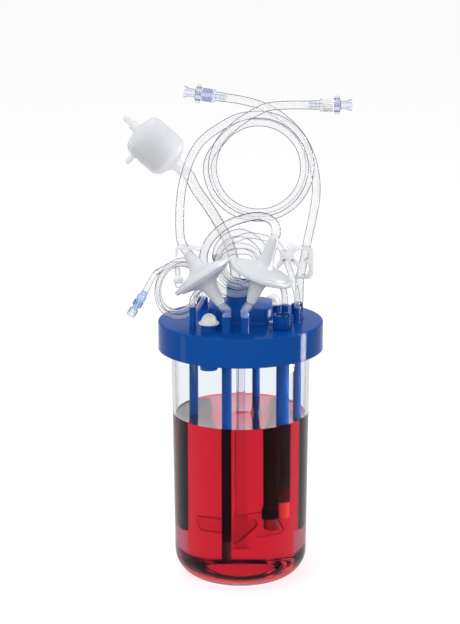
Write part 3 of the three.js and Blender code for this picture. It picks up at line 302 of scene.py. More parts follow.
def placed(mesh, place):
    mesh.transform(place.matrix() if isinstance(place, Axis) else Matrix.Translation(place))
    return mesh


def merged(meshes):
    """Several meshes as one."""
    bm = bmesh.new()
    for mesh in meshes:
        bm.from_mesh(mesh)
        bpy.data.meshes.remove(mesh)
    return released(bm)


def slab(outline, depth, edge=0.0, steps=2):
    """A plate cut to an outline in X and Y, from 0 up to its depth, its edges rounded."""
    bm = bmesh.new()
    face = bm.faces.new([bm.verts.new((x, y, 0)) for x, y in outline])
    grown = bmesh.ops.extrude_face_region(bm, geom=[face])
    top = [item for item in grown["geom"] if isinstance(item, bmesh.types.BMVert)]
    bmesh.ops.translate(bm, verts=top, vec=(0, 0, depth))
    bmesh.ops.recalc_face_normals(bm, faces=bm.faces)
    if edge:
        bmesh.ops.bevel(bm, geom=bm.edges[:], offset=edge, segments=steps, profile=0.5,
                        affect="EDGES", clamp_overlap=True)
    return finished(bm)


def loose(mesh, name="loose"):
    obj = bpy.data.objects.new(name, mesh)
    bpy.context.scene.collection.objects.link(obj)
    return obj


def evaluated(obj):
    """The object's mesh with its modifiers applied; the object is removed."""
    graph = bpy.context.evaluated_depsgraph_get()
    mesh = bpy.data.meshes.new_from_object(obj.evaluated_get(graph))
    bpy.data.objects.remove(obj)
    return mesh


def carved(base, added=(), cut=(), angle=32):
    """The base joined with the added meshes and less the cut ones."""
    body = loose(base)
    for operation, meshes in (("UNION", added), ("DIFFERENCE", cut)):
        for mesh in meshes:
            change = body.modifiers.new(operation.lower(), "BOOLEAN")
            change.operation = operation
            change.solver = "EXACT"
            change.object = loose(mesh)
    tools = [change.object for change in body.modifiers]
    mesh = evaluated(body)
    for tool in tools:
        bpy.data.objects.remove(tool)
    return shaded(mesh, angle)


# ---- Routes and tubes -----------------------------------------------------------------------

def smooth_route(points, step):
    """A centripetal curve through the points, as evenly spaced points."""
    points = [Vector(point) for point in points]
    ends = [points[0] * 2 - points[1], *points, points[-1] * 2 - points[-2]]
    dense = [points[0]]
    for a, b, c, d in zip(ends, ends[1:], ends[2:], ends[3:]):
        spans = [max((q - p).length ** 0.5, 1e-6) for p, q in ((a, b), (b, c), (c, d))]
        first = ((b - a) / spans[0] - (c - a) / (spans[0] + spans[1])
                 + (c - b) / spans[1]) * spans[1]
        last = ((c - b) / spans[1] - (d - b) / (spans[1] + spans[2])
                + (d - c) / spans[2]) * spans[1]
        for i in range(1, 13):
            t = i / 12
            dense.append(b + first * t + (3 * (c - b) - 2 * first - last) * t ** 2
                         + (2 * (b - c) + first + last) * t ** 3)
    return evenly(dense, step)


def evenly(points, step):
    """Points at even distances along a line of points."""
    total = route_length(points)
    count = max(2, round(total / step))
    out = [points[0].copy()]
    walked = 0.0
    for before, after in zip(points, points[1:]):
        span = (after - before).length
        while len(out) < count and walked + span >= total * len(out) / count:
            out.append(before.lerp(after, (total * len(out) / count - walked) / span))
        walked += span
    return out + [points[-1].copy()]


def route_length(points):
    return sum((after - before).length for before, after in zip(points, points[1:]))


def ring_route(centre, keys, tilt=0.0, yaw=0.0):
    """Points round a coil's own axis, Y, from (angle in degrees, radius, depth) keys."""
    turn = Matrix.Rotation(radians(yaw), 3, "Z") @ Matrix.Rotation(radians(tilt), 3, "X")
    out = []
    for (a0, r0, d0), (a1, r1, d1) in zip(keys, keys[1:]):
        count = max(1, round(abs(a1 - a0) / 12))
        for i in range(count):
            share = i / count
            ease = share * share * (3 - 2 * share)
            angle = radians(a0 + (a1 - a0) * share)
            radius, depth = r0 + (r1 - r0) * ease, d0 + (d1 - d0) * ease
            out.append(centre + turn @ Vector((radius * cos(angle), depth, radius * sin(angle))))
    return out


def swept(path, radius, bore, sides, swell=0.0):
    """A hollow tube along a path; its ends may swell where they are pushed over a barb."""
    tangents = [(path[min(i + 1, len(path) - 1)] - path[max(i - 1, 0)]).normalized()
                for i in range(len(path))]
    side = tangents[0].orthogonal().normalized()
    walked = 0.0
    total = route_length(path)
    outer, inner = [], []
    bm = bmesh.new()
    for i, (point, tangent) in enumerate(zip(path, tangents)):
        if i:
            walked += (point - path[i - 1]).length
            side = (tangents[i - 1].rotation_difference(tangent) @ side)
        side = (side - tangent * side.dot(tangent)).normalized()
        other = tangent.cross(side)
        nearness = max(0.0, 1 - walked / SWELL_REACH, 1 - (total - walked) / SWELL_REACH)
        grow = swell * min(1, nearness * 3)
        for ring, size in ((outer, radius + grow), (inner, bore + grow)):
            ring.append([bm.verts.new(point + (side * cos(tau * k / sides)
                                               + other * sin(tau * k / sides)) * size)
                         for k in range(sides)])
    for slot, rings in enumerate((outer, inner)):
        for before, after in zip(rings, rings[1:]):
            for k, j in around(sides):
                face = bm.faces.new((before[k], before[j], after[j], after[k]))
                face.material_index = slot
    for end in (0, -1):
        for k, j in around(sides):
            bm.faces.new((outer[end][k], outer[end][j], inner[end][j], inner[end][k]))
    return finished(bm, 50)


def rod_along(path, radius, sides):
    """A solid rod along a path, for cutting a way through."""
    tube = swept(path, radius, radius * 0.5, sides)
    bm = bmesh.new()
    bm.from_mesh(tube)
    bpy.data.meshes.remove(tube)
    bm.verts.ensure_lookup_table()
    inner = [vert for i, vert in enumerate(bm.verts) if (i // sides) % 2]
    bmesh.ops.delete(bm, geom=inner, context="VERTS")
    open_edges = [edge for edge in bm.edges if len(edge.link_faces) == 1]
    bmesh.ops.holes_fill(bm, edges=open_edges, sides=0)
    return finished(bm)


# ---- Nodes ----------------------------------------------------------------------------------

def feed(made, inputs):
    """Gives a node its inputs, each a value or the socket that it comes from."""
    for socket, value in inputs.items():
        if isinstance(value, bpy.types.NodeSocket):
            made.id_data.links.new(value, made.inputs[socket])
        else:
            made.inputs[socket].default_value = value
    return made


def node(tree, kind, inputs=None, **traits):
    made = tree.nodes.new(kind)
    for trait, value in traits.items():
        setattr(made, trait, value)
    return feed(made, inputs or {})


def node_group(fill, kind, inputs, outputs):
    """The group that fill makes, once: it gets the tree and its inputs, and gives the outputs."""
    name = fill.__name__
    if name not in bpy.data.node_groups:
        tree = bpy.data.node_groups.new(name, kind)
        for way, sockets in (("INPUT", inputs), ("OUTPUT", outputs)):
            for label, socket in sockets.items():
                tree.interface.new_socket(label, in_out=way, socket_type="NodeSocket" + socket)
        made = fill(tree, node(tree, "NodeGroupInput").outputs)
        node(tree, "NodeGroupOutput", dict(zip(outputs, made)))
    return bpy.data.node_groups[name]


def math_node(tree, operation, *values):
    return node(tree, "ShaderNodeMath", dict(enumerate(values)), operation=operation).outputs[0]


def noise(tree, vector, scale, detail, roughness=0.5):
    return node(tree, "ShaderNodeTexNoise", {"Vector": vector, "Scale": scale, "Detail": detail,
                                             "Roughness": roughness}).outputs["Fac"]


def mixed(tree, share, *shades):
    first, second = (shade if isinstance(shade, bpy.types.NodeSocket) else (*shade, 1)
                     for shade in shades)
    return node(tree, "ShaderNodeMix", {0: share, 6: first, 7: second},
                data_type="RGBA").outputs[2]


def turned_away(tree, start, end):
    """How far the surface turns away from the eye, between two ends of a soft step."""
    facing = node(tree, "ShaderNodeLayerWeight", {"Blend": 0.5})
    return node(tree, "ShaderNodeMapRange",
                {"From Min": start, "From Max": end, "Value": facing.outputs["Facing"]},
                interpolation_type="SMOOTHSTEP").outputs[0]


def upward(tree, vector):
    return node(tree, "ShaderNodeSeparateXYZ", {0: vector}).outputs[2]


def normal_up(tree):
    return upward(tree, node(tree, "ShaderNodeNewGeometry").outputs["Normal"])


def by_ray(tree, seen, other):
    """One value where it is looked at, reflected or seen through, and one for lighting."""
    path = node(tree, "ShaderNodeLightPath").outputs
    direct = path["Is Camera Ray"]
    for kind in ("Is Glossy Ray", "Is Transmission Ray"):
        direct = math_node(tree, "MAXIMUM", direct, path[kind])
    return math_node(tree, "ADD", other, math_node(tree, "MULTIPLY", direct, seen - other))


def ring_of_copies(tree, given):
    """Copies of a shape round the Z axis, joined to the piece that carries them."""
    share = math_node(tree, "DIVIDE", node(tree, "GeometryNodeInputIndex").outputs[0],
                      given["Count"])
    angle = math_node(tree, "ADD", math_node(tree, "MULTIPLY", share, tau), given["Phase"])
    x, y = (math_node(tree, "MULTIPLY", math_node(tree, wave, angle), given["Radius"])
            for wave in ("COSINE", "SINE"))
    place = node(tree, "ShaderNodeCombineXYZ", {0: x, 1: y, 2: given["Height"]})
    points = node(tree, "GeometryNodePoints",
                  {"Count": given["Count"], "Position": place.outputs[0]})
    euler = node(tree, "ShaderNodeCombineXYZ", {0: given["Pitch"], 2: angle})
    rotation = node(tree, "FunctionNodeEulerToRotation", {0: euler.outputs[0]})
    shape = node(tree, "GeometryNodeObjectInfo", {"As Instance": True, "Object": given["Shape"]})
    copies = node(tree, "GeometryNodeInstanceOnPoints",
                  {"Points": points.outputs[0], "Instance": shape.outputs["Geometry"],
                   "Rotation": rotation.outputs[0]})
    joined = node(tree, "GeometryNodeJoinGeometry", {0: copies.outputs[0]})
    feed(joined, {0: given["Geometry"]})
    real = node(tree, "GeometryNodeRealizeInstances", {0: joined.outputs[0]})
    return node(tree, "GeometryNodeSetMaterial",
                {"Geometry": real.outputs[0], "Material": given["Finish"]}).outputs


def with_copies(mesh, shape, count, radius, height, finish, pitch=0.0, phase=0.0):
    """The mesh with copies of a small shape in a ring round its Z axis."""
    carrier, pattern = loose(mesh), loose(shape)
    finish = bpy.data.materials[finish]
    values = {"Shape": pattern, "Count": count, "Radius": radius, "Height": height,
              "Pitch": pitch, "Phase": phase, "Finish": finish}
    kinds = ("Object", "Int", "Float", "Float", "Float", "Float", "Material")
    ring = carrier.modifiers.new("ring", "NODES")
    ring.node_group = node_group(ring_of_copies, "GeometryNodeTree",
                                 {"Geometry": "Geometry", **dict(zip(values, kinds))},
                                 {"Geometry": "Geometry"})
    for item in ring.node_group.interface.items_tree:
        if item.in_out == "INPUT" and item.name in values:
            ring[item.identifier] = values[item.name]
    made = evaluated(carrier)
    bpy.data.objects.remove(pattern)
    made.materials.clear()
    made.materials.append(finish)
    return shaded(made)


# ---- Finishes -------------------------------------------------------------------------------

def moulded_surface(tree, given):
    """Fine grain, broad flow marks and uneven gloss of a moulded surface."""
    grain = noise(tree, given["Vector"], given["Grain"], 3.0)
    flow = noise(tree, given["Vector"], given["Flow"], 1.0)
    spread = math_node(tree, "MULTIPLY", math_node(tree, "SUBTRACT", flow, 0.5),
                       given["Unevenness"])
    return (math_node(tree, "ADD", grain, math_node(tree, "MULTIPLY", flow, 3.0)),
            math_node(tree, "ADD", spread, given["Roughness"]))


def resin_colour(tree, given):
    """A plastic's colour with faint clouding and a trace of dust on what faces up."""
    cloud = math_node(tree, "SUBTRACT", noise(tree, given["Vector"], given["Scale"], 2.0), 0.5)
    amount = math_node(tree, "ADD", math_node(tree, "MULTIPLY", cloud, given["Clouding"]), 1.0)
    bright = node(tree, "ShaderNodeVectorMath", {0: given["Colour"], "Scale": amount},
                  operation="SCALE").outputs[0]
    facing_up = math_node(tree, "POWER", math_node(tree, "MAXIMUM", normal_up(tree), 0.0), 6.0)
    specks = noise(tree, given["Vector"], 900.0, 4.0, 0.7)
    dust = math_node(tree, "MULTIPLY", math_node(tree, "MULTIPLY", facing_up, specks),
                     given["Dust"])
    return [mixed(tree, dust, bright, (0.6, 0.6, 0.62))]


class Finish:
    """A material under construction: its Principled shader and its object coordinates."""

    def __init__(self, name, **constants):
        self.material = bpy.data.materials.new(name)
        self.material.use_nodes = True
        self.tree = self.material.node_tree
        self.shader = self.tree.nodes["Principled BSDF"]
        self.output = self.tree.nodes["Material Output"]
        self.position = node(self.tree, "ShaderNodeTexCoord").outputs["Object"]
        feed(self.shader, {label.replace("_", " "): value for label, value in constants.items()})

    def group(self, fill, outputs, **values):
        kinds = {label: "Color" if isinstance(value, tuple) else "Float"
                 for label, value in values.items()}
        tree = node_group(fill, "ShaderNodeTree", {"Vector": "Vector", **kinds}, outputs)
        return node(self.tree, "ShaderNodeGroup", {"Vector": self.position, **values},
                    node_tree=tree).outputs

    def surface(self, roughness, grain=1800.0, depth=0.02, unevenness=0.08):
        marks = self.group(moulded_surface, {"Height": "Float", "Roughness": "Float"},
                           Grain=grain, Flow=60.0, Roughness=roughness, Unevenness=unevenness)
        bump = node(self.tree, "ShaderNodeBump",
                    {"Strength": depth, "Distance": BUMP_HEIGHT, "Height": marks["Height"]})
        feed(self.shader, {"Normal": bump.outputs[0], "Roughness": marks["Roughness"]})
        return self

    def resin(self, rgb, clouding, dust):
        made = self.group(resin_colour, {"Colour": "Color"}, Colour=(*rgb, 1), Clouding=clouding,
                          Dust=dust, Scale=45.0)
        feed(self.shader, {"Base Color": made["Colour"]})
        return self

    def with_painted_edge_shade(self, centre, edge, start, end):
        """Painted edge shade: base colour that goes from the centre's to the edge's where the
        surface turns away from the eye.
        """
        shade = mixed(self.tree, turned_away(self.tree, start, end), centre, edge)
        feed(self.shader, {"Base Color": shade})

    def lamps_pass(self, tint):
        """Lamplight goes straight through, as it does through thin clear walls."""
        path = node(self.tree, "ShaderNodeLightPath")
        through = node(self.tree, "ShaderNodeBsdfTransparent", {0: (*tint, 1)})
        mix = node(self.tree, "ShaderNodeMixShader",
                   {0: path.outputs["Is Shadow Ray"], 1: self.shader.outputs[0],
                    2: through.outputs[0]})
        feed(self.output, {"Surface": mix.outputs[0]})
        return self

    def absorbing(self, rgb, depth):
        """Absorption that leaves this colour after so much depth."""
        loss = [-log(part) / depth for part in rgb]
        density = max(loss) * 1.03
        volume = node(self.tree, "ShaderNodeVolumeAbsorption",
                      {"Color": (*(1 - part / density for part in loss), 1),
                       "Density": density})
        feed(self.output, {"Volume": volume.outputs[0]})


def opaque(name, rgb, roughness, clouding=0.1, dust=0.02, depth=0.02, grain=1800.0, **constants):
    finish = Finish(name, **constants).resin(rgb, clouding, dust)
    finish.surface(roughness, grain, depth)


def clear(name, centre, edge, ior, start=0.35, end=0.85, roughness=0.0, depth=0.004,
          **constants):
    finish = Finish(name, **{"Transmission_Weight": 1.0, "IOR": ior, **constants})
    # Painted edge shade: the edge colour where the surface turns away from the eye
    finish.with_painted_edge_shade(centre, edge, start, end)
    finish.surface(roughness, depth=depth, unevenness=0.03).lamps_pass(centre)


def culture_medium(chosen, tint):
    """Red medium with painted shade where its sides turn away, painted light there near its foot,
    and a painted pink sheen on its surface.
    """
    finish = Finish("culture_red", Transmission_Weight=1.0, IOR=1.335, Roughness=0.0,
                    Specular_Tint=tint)
    tree, red = finish.tree, chosen.medium
    height = upward(tree, finish.position)
    above = math_node(tree, "GREATER_THAN", height, PAINTED_PALE_FOOT_TOP)
    # Painted light: pale where the sides turn away, below the foot height
    foot = mixed(tree, turned_away(tree, 0.33, 0.37), red, (0.36, 0.8, 0.9))
    # Painted shade: near black where the sides turn away, above the foot height
    sides = mixed(tree, turned_away(tree, 0.33, 0.46), red, (0.01, 0.005, 0.008))
    flat = math_node(tree, "GREATER_THAN", math_node(tree, "ABSOLUTE", normal_up(tree)), 0.2)
    surface = math_node(tree, "MULTIPLY", flat,
                        math_node(tree, "GREATER_THAN", height, LIQUID_LEVEL - 0.0001))
    # The walls get their painted shade and painted light; flat faces keep the red
    walls_with_painted_shade_and_light = mixed(tree, flat, mixed(tree, above, foot, sides), red)
    # Painted sheen: the medium's top surface gets the pale pink surface colour
    feed(finish.shader, {"Base Color": mixed(tree, surface, walls_with_painted_shade_and_light, chosen.surface),
                         "Coat Weight": surface})
    finish.lamps_pass((1, 1, 1)).absorbing(tuple(chosen.dye), chosen.depth)


def make_finishes():
    """Every material of the object, by name."""
    chosen = settings("finish")
    blue = tuple(chosen.blue)
    wet = {"Specular_Tint": (0.03, 0.03, 0.03, 1)}
    soft = {"depth": 0.0, "Transmission_Weight": 0.84, "Coat_Weight": 0.2}
    opaque("royal_blue_moulding", blue, 0.08, 0.12, 0.0, Specular_IOR_Level=0.045)
    opaque("plate_top_blue", blue, 0.16, 0.12, 0.0, Specular_IOR_Level=0.02)
    # Painted shade: the plate's blue darkened for the blue parts inside the vessel
    opaque("inner_blue", tuple(0.65 * part for part in blue), 0.3, 0.1, 0.0,
           Specular_IOR_Level=0.02)
    # Painted shade: near-black copy of the blue for the blue parts under the medium
    opaque("wet_blue", (0.008, 0.006, 0.012), 0.3, dust=0.0, Specular_IOR_Level=0.02)
    opaque("white_moulding", chosen.white, 0.42, Subsurface_Weight=0.2,
           Subsurface_Radius=(0.003, 0.003, 0.003), Subsurface_Scale=1.0)
    opaque("filter_housing", chosen.filter, 0.36, 0.05, depth=0.03, Subsurface_Weight=0.35,
           Subsurface_Radius=(0.004, 0.004, 0.005), Subsurface_Scale=1.0)
    opaque("capsule_housing", (0.86, 0.865, 0.88), 0.42, 0.05, depth=0.03,
           Transmission_Weight=0.62, IOR=1.12, Coat_Weight=0.3)
    opaque("filter_core", (0.66, 0.67, 0.7), 0.6)
    # The second colour of each clear finish, where darker, is painted edge shade
    clear("clear_vessel", chosen.clear, (0.25, 0.26, 0.3), 1.15, 0.55, 0.9)
    clear("wetted_vessel", (1, 1, 1), (1, 1, 1), 1.15, **wet)
    clear("clear_shaft", (0.8, 0.78, 0.9), (0.3, 0.26, 0.42), 1.3, 0.2, 0.95)
    clear("wet_clear", (0.92, 0.9, 0.9), (0.62, 0.5, 0.52), 1.03, 0.6, 1.0, **wet)
    clear("wet_shaft", (0.84, 0.82, 0.84), (0.4, 0.3, 0.33), 1.1, 0.6, 1.0, **wet)
    clear("soft_tubing", chosen.tubing, (0.1, 0.1, 0.11), 1.03, 0.3, 0.62, Coat_Roughness=0.06,
          **soft)
    clear("tube_bore", (0.94, 0.943, 0.952), (0.6, 0.6, 0.62), 1.03, 0.6, 1.0, depth=0.0)
    clear("clear_sleeve", (0.97, 0.972, 0.98), (0.42, 0.45, 0.5), 1.03, 0.4, 0.95, depth=0.0,
          Transmission_Weight=0.93, Coat_Weight=0.5, Coat_Roughness=0.06)
    clear("silicone_tubing", (0.94, 0.93, 0.925), (0.2, 0.18, 0.17), 1.03, 0.3, 0.65,
          Coat_Roughness=0.1, **soft)
    clear("tinted_fitting", chosen.lilac, (0.14, 0.16, 0.27), 1.06, 0.12, 0.8, Coat_Weight=0.4,
          Coat_Roughness=0.08)
    clear("valve_blue", chosen.valve, (0.06, 0.1, 0.32), 1.08, 0.12, 0.8, 0.05, Coat_Weight=0.5)
    opaque("clamp_plastic", (0.93, 0.935, 0.95), 0.35, 0.04, Transmission_Weight=0.35, IOR=1.15,
           Coat_Weight=0.3)
    opaque("sintered_stone", (0.03, 0.022, 0.026), 0.85, 0.5, depth=0.6, grain=2600.0)
    opaque("well_steel", (0.5, 0.51, 0.53), 0.28, 0.05, Metallic=1.0)
    opaque("collar_red", (0.035, 0.004, 0.009), 0.35, Specular_IOR_Level=0.05)
    opaque("rotor_black", (0.026, 0.03, 0.037), 0.5)
    opaque("seal_rubber", (0.035, 0.037, 0.042), 0.75, depth=0.2)
    # Painted shade on the rims of the impeller's blades
    clear("blade_edge", (0.3, 0.16, 0.18), (0.2, 0.1, 0.12), 1.03, **wet)
    clear("sensor_glass", (0.6, 0.32, 0.18), (0.35, 0.1, 0.06), 1.3, roughness=0.04)
    culture_medium(chosen, wet["Specular_Tint"])


def finished_by_face(mesh, finishes, pick):
    """Several finishes on one mesh: the test gives each face's place in the list of them."""
    mesh.materials.clear()
    for name in finishes:
        mesh.materials.append(bpy.data.materials[name])
    for face in mesh.polygons:
        face.material_index = int(pick(face.center, face.normal))
    return mesh


def wetted(mesh, dry="inner_blue", wet="wet_blue"):
    """Its dry finish above the medium, and its wet one below. The blue defaults are painted shade:
    a darkened blue above and a near-black one below.
    """
    return finished_by_face(mesh, (dry, wet), lambda centre, normal: centre.z < LIQUID_LEVEL)


def piece(name, mesh, replaces, place=None, finish=None, body=STATIC):
    """A finished piece, set in its place; without a finish its mesh keeps its own."""
    if place:
        placed(mesh, place)
    if finish:
        mesh.materials.clear()
        mesh.materials.append(bpy.data.materials[finish])
    mesh.name = name
    obj = loose(mesh, name)
    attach(obj, body)
    if replaces:
        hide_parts(*replaces)
    return obj


# ---- Operators ---------------------------------------------------------------------------------

class BIOREACTOR_OT_stage(bpy.types.Operator):
    """Camera, pale floor, soft studio lamps and a white background"""
    bl_idname = "bioreactor.stage"
    bl_label = "Stage"

    def execute(self, context):
        stage = settings("stage")
        self.camera(context.scene, stage)
        self.world(context.scene, stage)
        self.floor(stage)
        self.lamps(stage)
        return {"FINISHED"}

    def camera(self, scene, stage):
        camera = bpy.data.objects.new("camera", bpy.data.cameras.new("camera"))
        scene.collection.objects.link(camera)
        back = Vector((0, -cos(stage.elevation), sin(stage.elevation)))
        camera.location = Vector((0, 0, stage.target)) + back * stage.distance
        camera.rotation_euler = (-back).to_track_quat("-Z", "Y").to_euler()
        camera.data.sensor_fit = "HORIZONTAL"
        camera.data.sensor_width = 36
        camera.data.lens = stage.lens
        camera.data.shift_x = stage.shift
        camera.data.clip_end = 50
        scene.camera = camera
        scene.view_settings.view_transform = "Standard"
        scene.cycles.max_bounces = 32
        scene.cycles.transmission_bounces = 32
        scene.cycles.transparent_max_bounces = 32

    def world(self, scene, stage):
        world = bpy.data.worlds.new("studio")
        scene.world = world
        world.use_nodes = True
        tree = world.node_tree
        feed(tree.nodes["Background"],
             {"Color": (1, 1, 1, 1), "Strength": by_ray(tree, 1.0, stage.ambient)})

    def floor(self, stage):
        finish = Finish("pale_floor", Base_Color=(0.5, 0.5, 0.5, 1), Roughness=0.9,
                        Specular_IOR_Level=0.0, Emission_Color=(1, 1, 1, 1))
        feed(finish.shader, {"Emission Strength": by_ray(finish.tree, 0.62, 0.0)})
        mesh = turned([(0, -0.0005), (stage.floor, -0.0005)])
        mesh.materials.append(finish.material)
        loose(mesh, "studio_floor")

    def lamps(self, stage):
        for name, place, size, radiance in (
                ("key", (-0.7, -1.0, 1.7), (1.1, 1.1), 1.8),
                ("overhead", (0.15, 0.1, 1.7), (1.0, 1.0), 1.5),
                ("fill", (0.1, -2.0, 0.75), (1.4, 1.4), 1.2),
                ("right_panel", (0.62, 0.03, 0.4), (0.11, 0.8), 56.0),
                ("left_panel", (-0.6, -0.08, 0.4), (0.09, 0.8), 3.0)):
            lamp = bpy.data.lights.new(name, "AREA")
            lamp.shape = "RECTANGLE"
            lamp.size, lamp.size_y = size
            lamp.energy = radiance * stage.lamps * pi * size[0] * size[1]
            obj = bpy.data.objects.new(name, lamp)
            bpy.context.scene.collection.objects.link(obj)
            obj.location = place
            panel = name.endswith("panel")
            obj.visible_diffuse = not panel      # the side panels are there to be reflected
            level = place[2] if panel else 0.2
            aim = Vector((0, 0, level)) - obj.location
            obj.rotation_euler = aim.to_track_quat("-Z", "Y").to_euler()


class BIOREACTOR_OT_finishes(bpy.types.Operator):
    """Materials of every piece"""
    bl_idname = "bioreactor.finishes"
    bl_label = "Finishes"

    def execute(self, context):
        make_finishes()
        return {"FINISHED"}


class BIOREACTOR_OT_connectors(bpy.types.Operator):
    """Luer connectors with their lock rings"""
    bl_idname = "bioreactor.connectors"
    bl_label = "Connectors"

    flange = (0.0047, 0.0016)
    neck = 0.0028
    ring = (0.00515, 0.008)
    nut = (0.0054, 0.0044)
    barrel = (0.0032, 0.0048)
    flare = (0.0043, 0.0041)
    bore = 0.0017
    play = 0.0004

    def execute(self, context):
        for node, axis, body, ring_finish, slot in (
                ("gas_connector_a", GAS_END_A, "gas_ring_a", "white_moulding", "white_plastic"),
                ("feed_connector", FEED_END, "feed_ring", "tinted_fitting", "tinted_plastic"),
                ("gas_connector_b", GAS_END_B, "gas_ring_b", "white_moulding",
                 "white_plastic")):
            seat = Axis(axis.at(FIT), axis.direction)
            piece(node + "_fitting", self.fitting(), [node + "_body"], seat)
            piece(node + "_ring", self.lock_ring(ring_finish), [node + "_lock_ring"], seat,
                  body=body)
        return {"FINISHED"}

    def fitting(self):
        neck_end = self.flange[1] + self.ring[1] + 2 * self.play
        nut_end = neck_end + self.nut[1]
        flare_start = nut_end + self.barrel[1]
        end = flare_start + self.flare[1]
        barb = 0.0021
        outline = [
            (self.bore - 0.0004, -0.0085), (barb - 0.0004, -0.0085), (barb + 0.0001, -0.0062),
            (barb - 0.0005, -0.006), (barb + 0.0001, -0.0034), (barb - 0.0005, -0.0032),
            (barb - 0.0005, -0.0002), (self.flange[0], 0), (self.flange[0], self.flange[1]),
            (self.neck, self.flange[1]), (self.neck, neck_end), (self.nut[0], neck_end),
            (self.nut[0], nut_end), (self.barrel[0], nut_end + 0.0006),
            (self.barrel[0] - 0.0001, flare_start), (self.flare[0], end - 0.0012),
            (self.flare[0], end), (self.bore + 0.0003, end), (self.bore, nut_end),
        ]
        body = turned(outline, 48, closed=True, edge=0.00025)
        wing = slab([(-0.0017, -0.0021), (0.0015, -0.0017), (0.0017, -0.0009), (0.0017, 0.0009),
                     (0.0015, 0.0017), (-0.0017, 0.0021)], self.nut[1] - 0.0008, 0.0003)
        return with_copies(body, wing, 6, 0.0051, neck_end + 0.0004, "tinted_fitting")

    def lock_ring(self, finish):
        foot = self.flange[1] + self.play
        bore = self.neck + self.play
        radius = self.ring[0] - 0.0004
        outline = [(bore, foot), (radius, foot), (radius, foot + self.ring[1]),
                   (bore, foot + self.ring[1])]
        ring = turned(outline, 48, closed=True, edge=0.0003)
        rib = slab([(-0.0003, -0.0003), (0.0003, -0.0002), (0.0004, 0), (0.0003, 0.0002),
                    (-0.0003, 0.0003)], self.ring[1] - 0.0012)
        return with_copies(ring, rib, 20, radius, foot + 0.0006, finish)


class BIOREACTOR_OT_sampling_fittings(bpy.types.Operator):
    """Sampling valve, and the blanked branch of the sampling line"""
    bl_idname = "bioreactor.sampling_fittings"
    bl_label = "Sampling fittings"

    def execute(self, context):
        seat = Axis(VALVE.at(FIT), VALVE.direction)
        outline = [(0, 0), (0.0025, 0), (0.0025, 0.003), (0.0034, 0.0036), (0.0034, 0.0066),
                   (0.003, 0.0069), (0.003, 0.0078), (0.0034, 0.0081), (0.0034, 0.0126),
                   (0.0022, 0.0132), (0.0022, 0.015), (0, 0.015)]
        body = turned(outline, 40, edge=0.0003)
        rib = slab([(-0.0003, -0.0003), (0.0003, -0.0003), (0.0003, 0.0003), (-0.0003, 0.0003)],
                   0.0042, 0.0001)
        body = with_copies(body, rib, 10, 0.0034, 0.0082, "valve_blue")
        piece("sampling_valve", body, ["sampling_valve_body"], seat)
        start, end = 0.015 + FIT, 0.0216
        outline = [(0, start), (0.0032, start), (0.0032, end - 0.0006), (0.0026, end), (0, end)]
        cap = turned(outline, 40, edge=0.0003)
        rib = slab([(-0.0002, -0.0002), (0.0002, -0.0002), (0.0002, 0.0002), (-0.0002, 0.0002)],
                   0.004)
        cap = with_copies(cap, rib, 16, 0.0032, start + 0.0006, "tinted_fitting")
        piece("sampling_valve_lid", cap, ["sampling_valve_cap"], seat)
        self.branch()
        return {"FINISHED"}

    def branch(self):
        stub, cap, plug = 0.0042, 0.0102, 0.0142
        tube = turned([(0.0012, -0.0008), (0.002, -0.0008), (0.002, stub), (0.0012, stub)], 24,
                      closed=True)
        piece("branch_tube", tube, ["branch_stub"], BRANCH, "soft_tubing")
        foot = stub + FIT
        outline = [(0, foot), (0.0022, foot), (0.0026, foot + 0.0012), (0.0036, foot + 0.002),
                   (0.0036, cap), (0, cap)]
        socket = turned(outline, 32, edge=0.0003)
        piece("branch_socket", socket, ["branch_cap"], BRANCH, "white_moulding")
        foot = cap + FIT
        outline = [(0, foot), (0.0027, foot), (0.0034, foot + 0.0007), (0.0031, plug - 0.0016),
                   (0.0024, plug), (0, plug)]
        stopper = turned(outline, 32, edge=0.0004, steps=3)
        piece("branch_stopper", stopper, ["branch_plug"], BRANCH,
              "tinted_fitting")


# Route points of the free tubing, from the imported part
GAS_RISE = [
    FILTER_A.at(STEM_A[0] + FIT), FILTER_A.at(STEM_A[0] + 0.005),
    (-0.0439, -0.0344, 0.2716), (-0.045, -0.0316, 0.2784), (-0.0452, -0.0285, 0.288),
    (-0.0446, -0.0235, 0.301), (-0.0422, -0.0185, 0.315), (-0.0376, -0.0145, 0.329),
    (-0.0316, -0.0118, 0.3396), (-0.0244, -0.01, 0.3468),
]
GAS_LEAVE = [
    (0.018, -0.008, 0.3671), (0.0255, -0.008, 0.3686), (0.0366, -0.008, 0.3692),
    (0.0485, -0.008, 0.3692), GAS_END_A.place,
]
FEED = [
    port_top("feed"), (0.045, 0.003, 0.2274), (0.0453, 0.0025, 0.2354), (0.0468, 0.002, 0.2433),
    (0.0486, 0.001, 0.2521), (0.0499, 0, 0.2601), (0.0515, 0, 0.2686), (0.0533, 0, 0.2771),
    (0.0557, 0.001, 0.2899), (0.0571, 0.002, 0.302), (0.0563, 0.003, 0.3148),
    (0.0534, 0.004, 0.3276), (0.048, 0.004, 0.3397), (0.0408, 0.004, 0.3496),
    (0.0318, 0.004, 0.3579), (0.022, 0.004, 0.3643), (0.0115, 0.004, 0.3685),
    (-0.0001, 0.004, 0.3714), (-0.0094, 0.004, 0.3729), FEED_END.place,
]
LOOP = [
    FILTER_B.at(STEM_B[0] + FIT), FILTER_B.at(STEM_B[0] + 0.0026), (0.0256, -0.046, 0.2852),
    (0.0222, -0.043, 0.2892), (0.0162, -0.039, 0.291), (0.0086, -0.0336, 0.29),
    (0.001, -0.029, 0.2872), (-0.0066, -0.0252, 0.2838), (-0.0138, -0.0226, 0.2792),
    (-0.0198, -0.0202, 0.2734), (-0.0244, -0.018, 0.2668), (-0.0272, -0.0158, 0.26),
    (-0.028, -0.0138, 0.254),
]
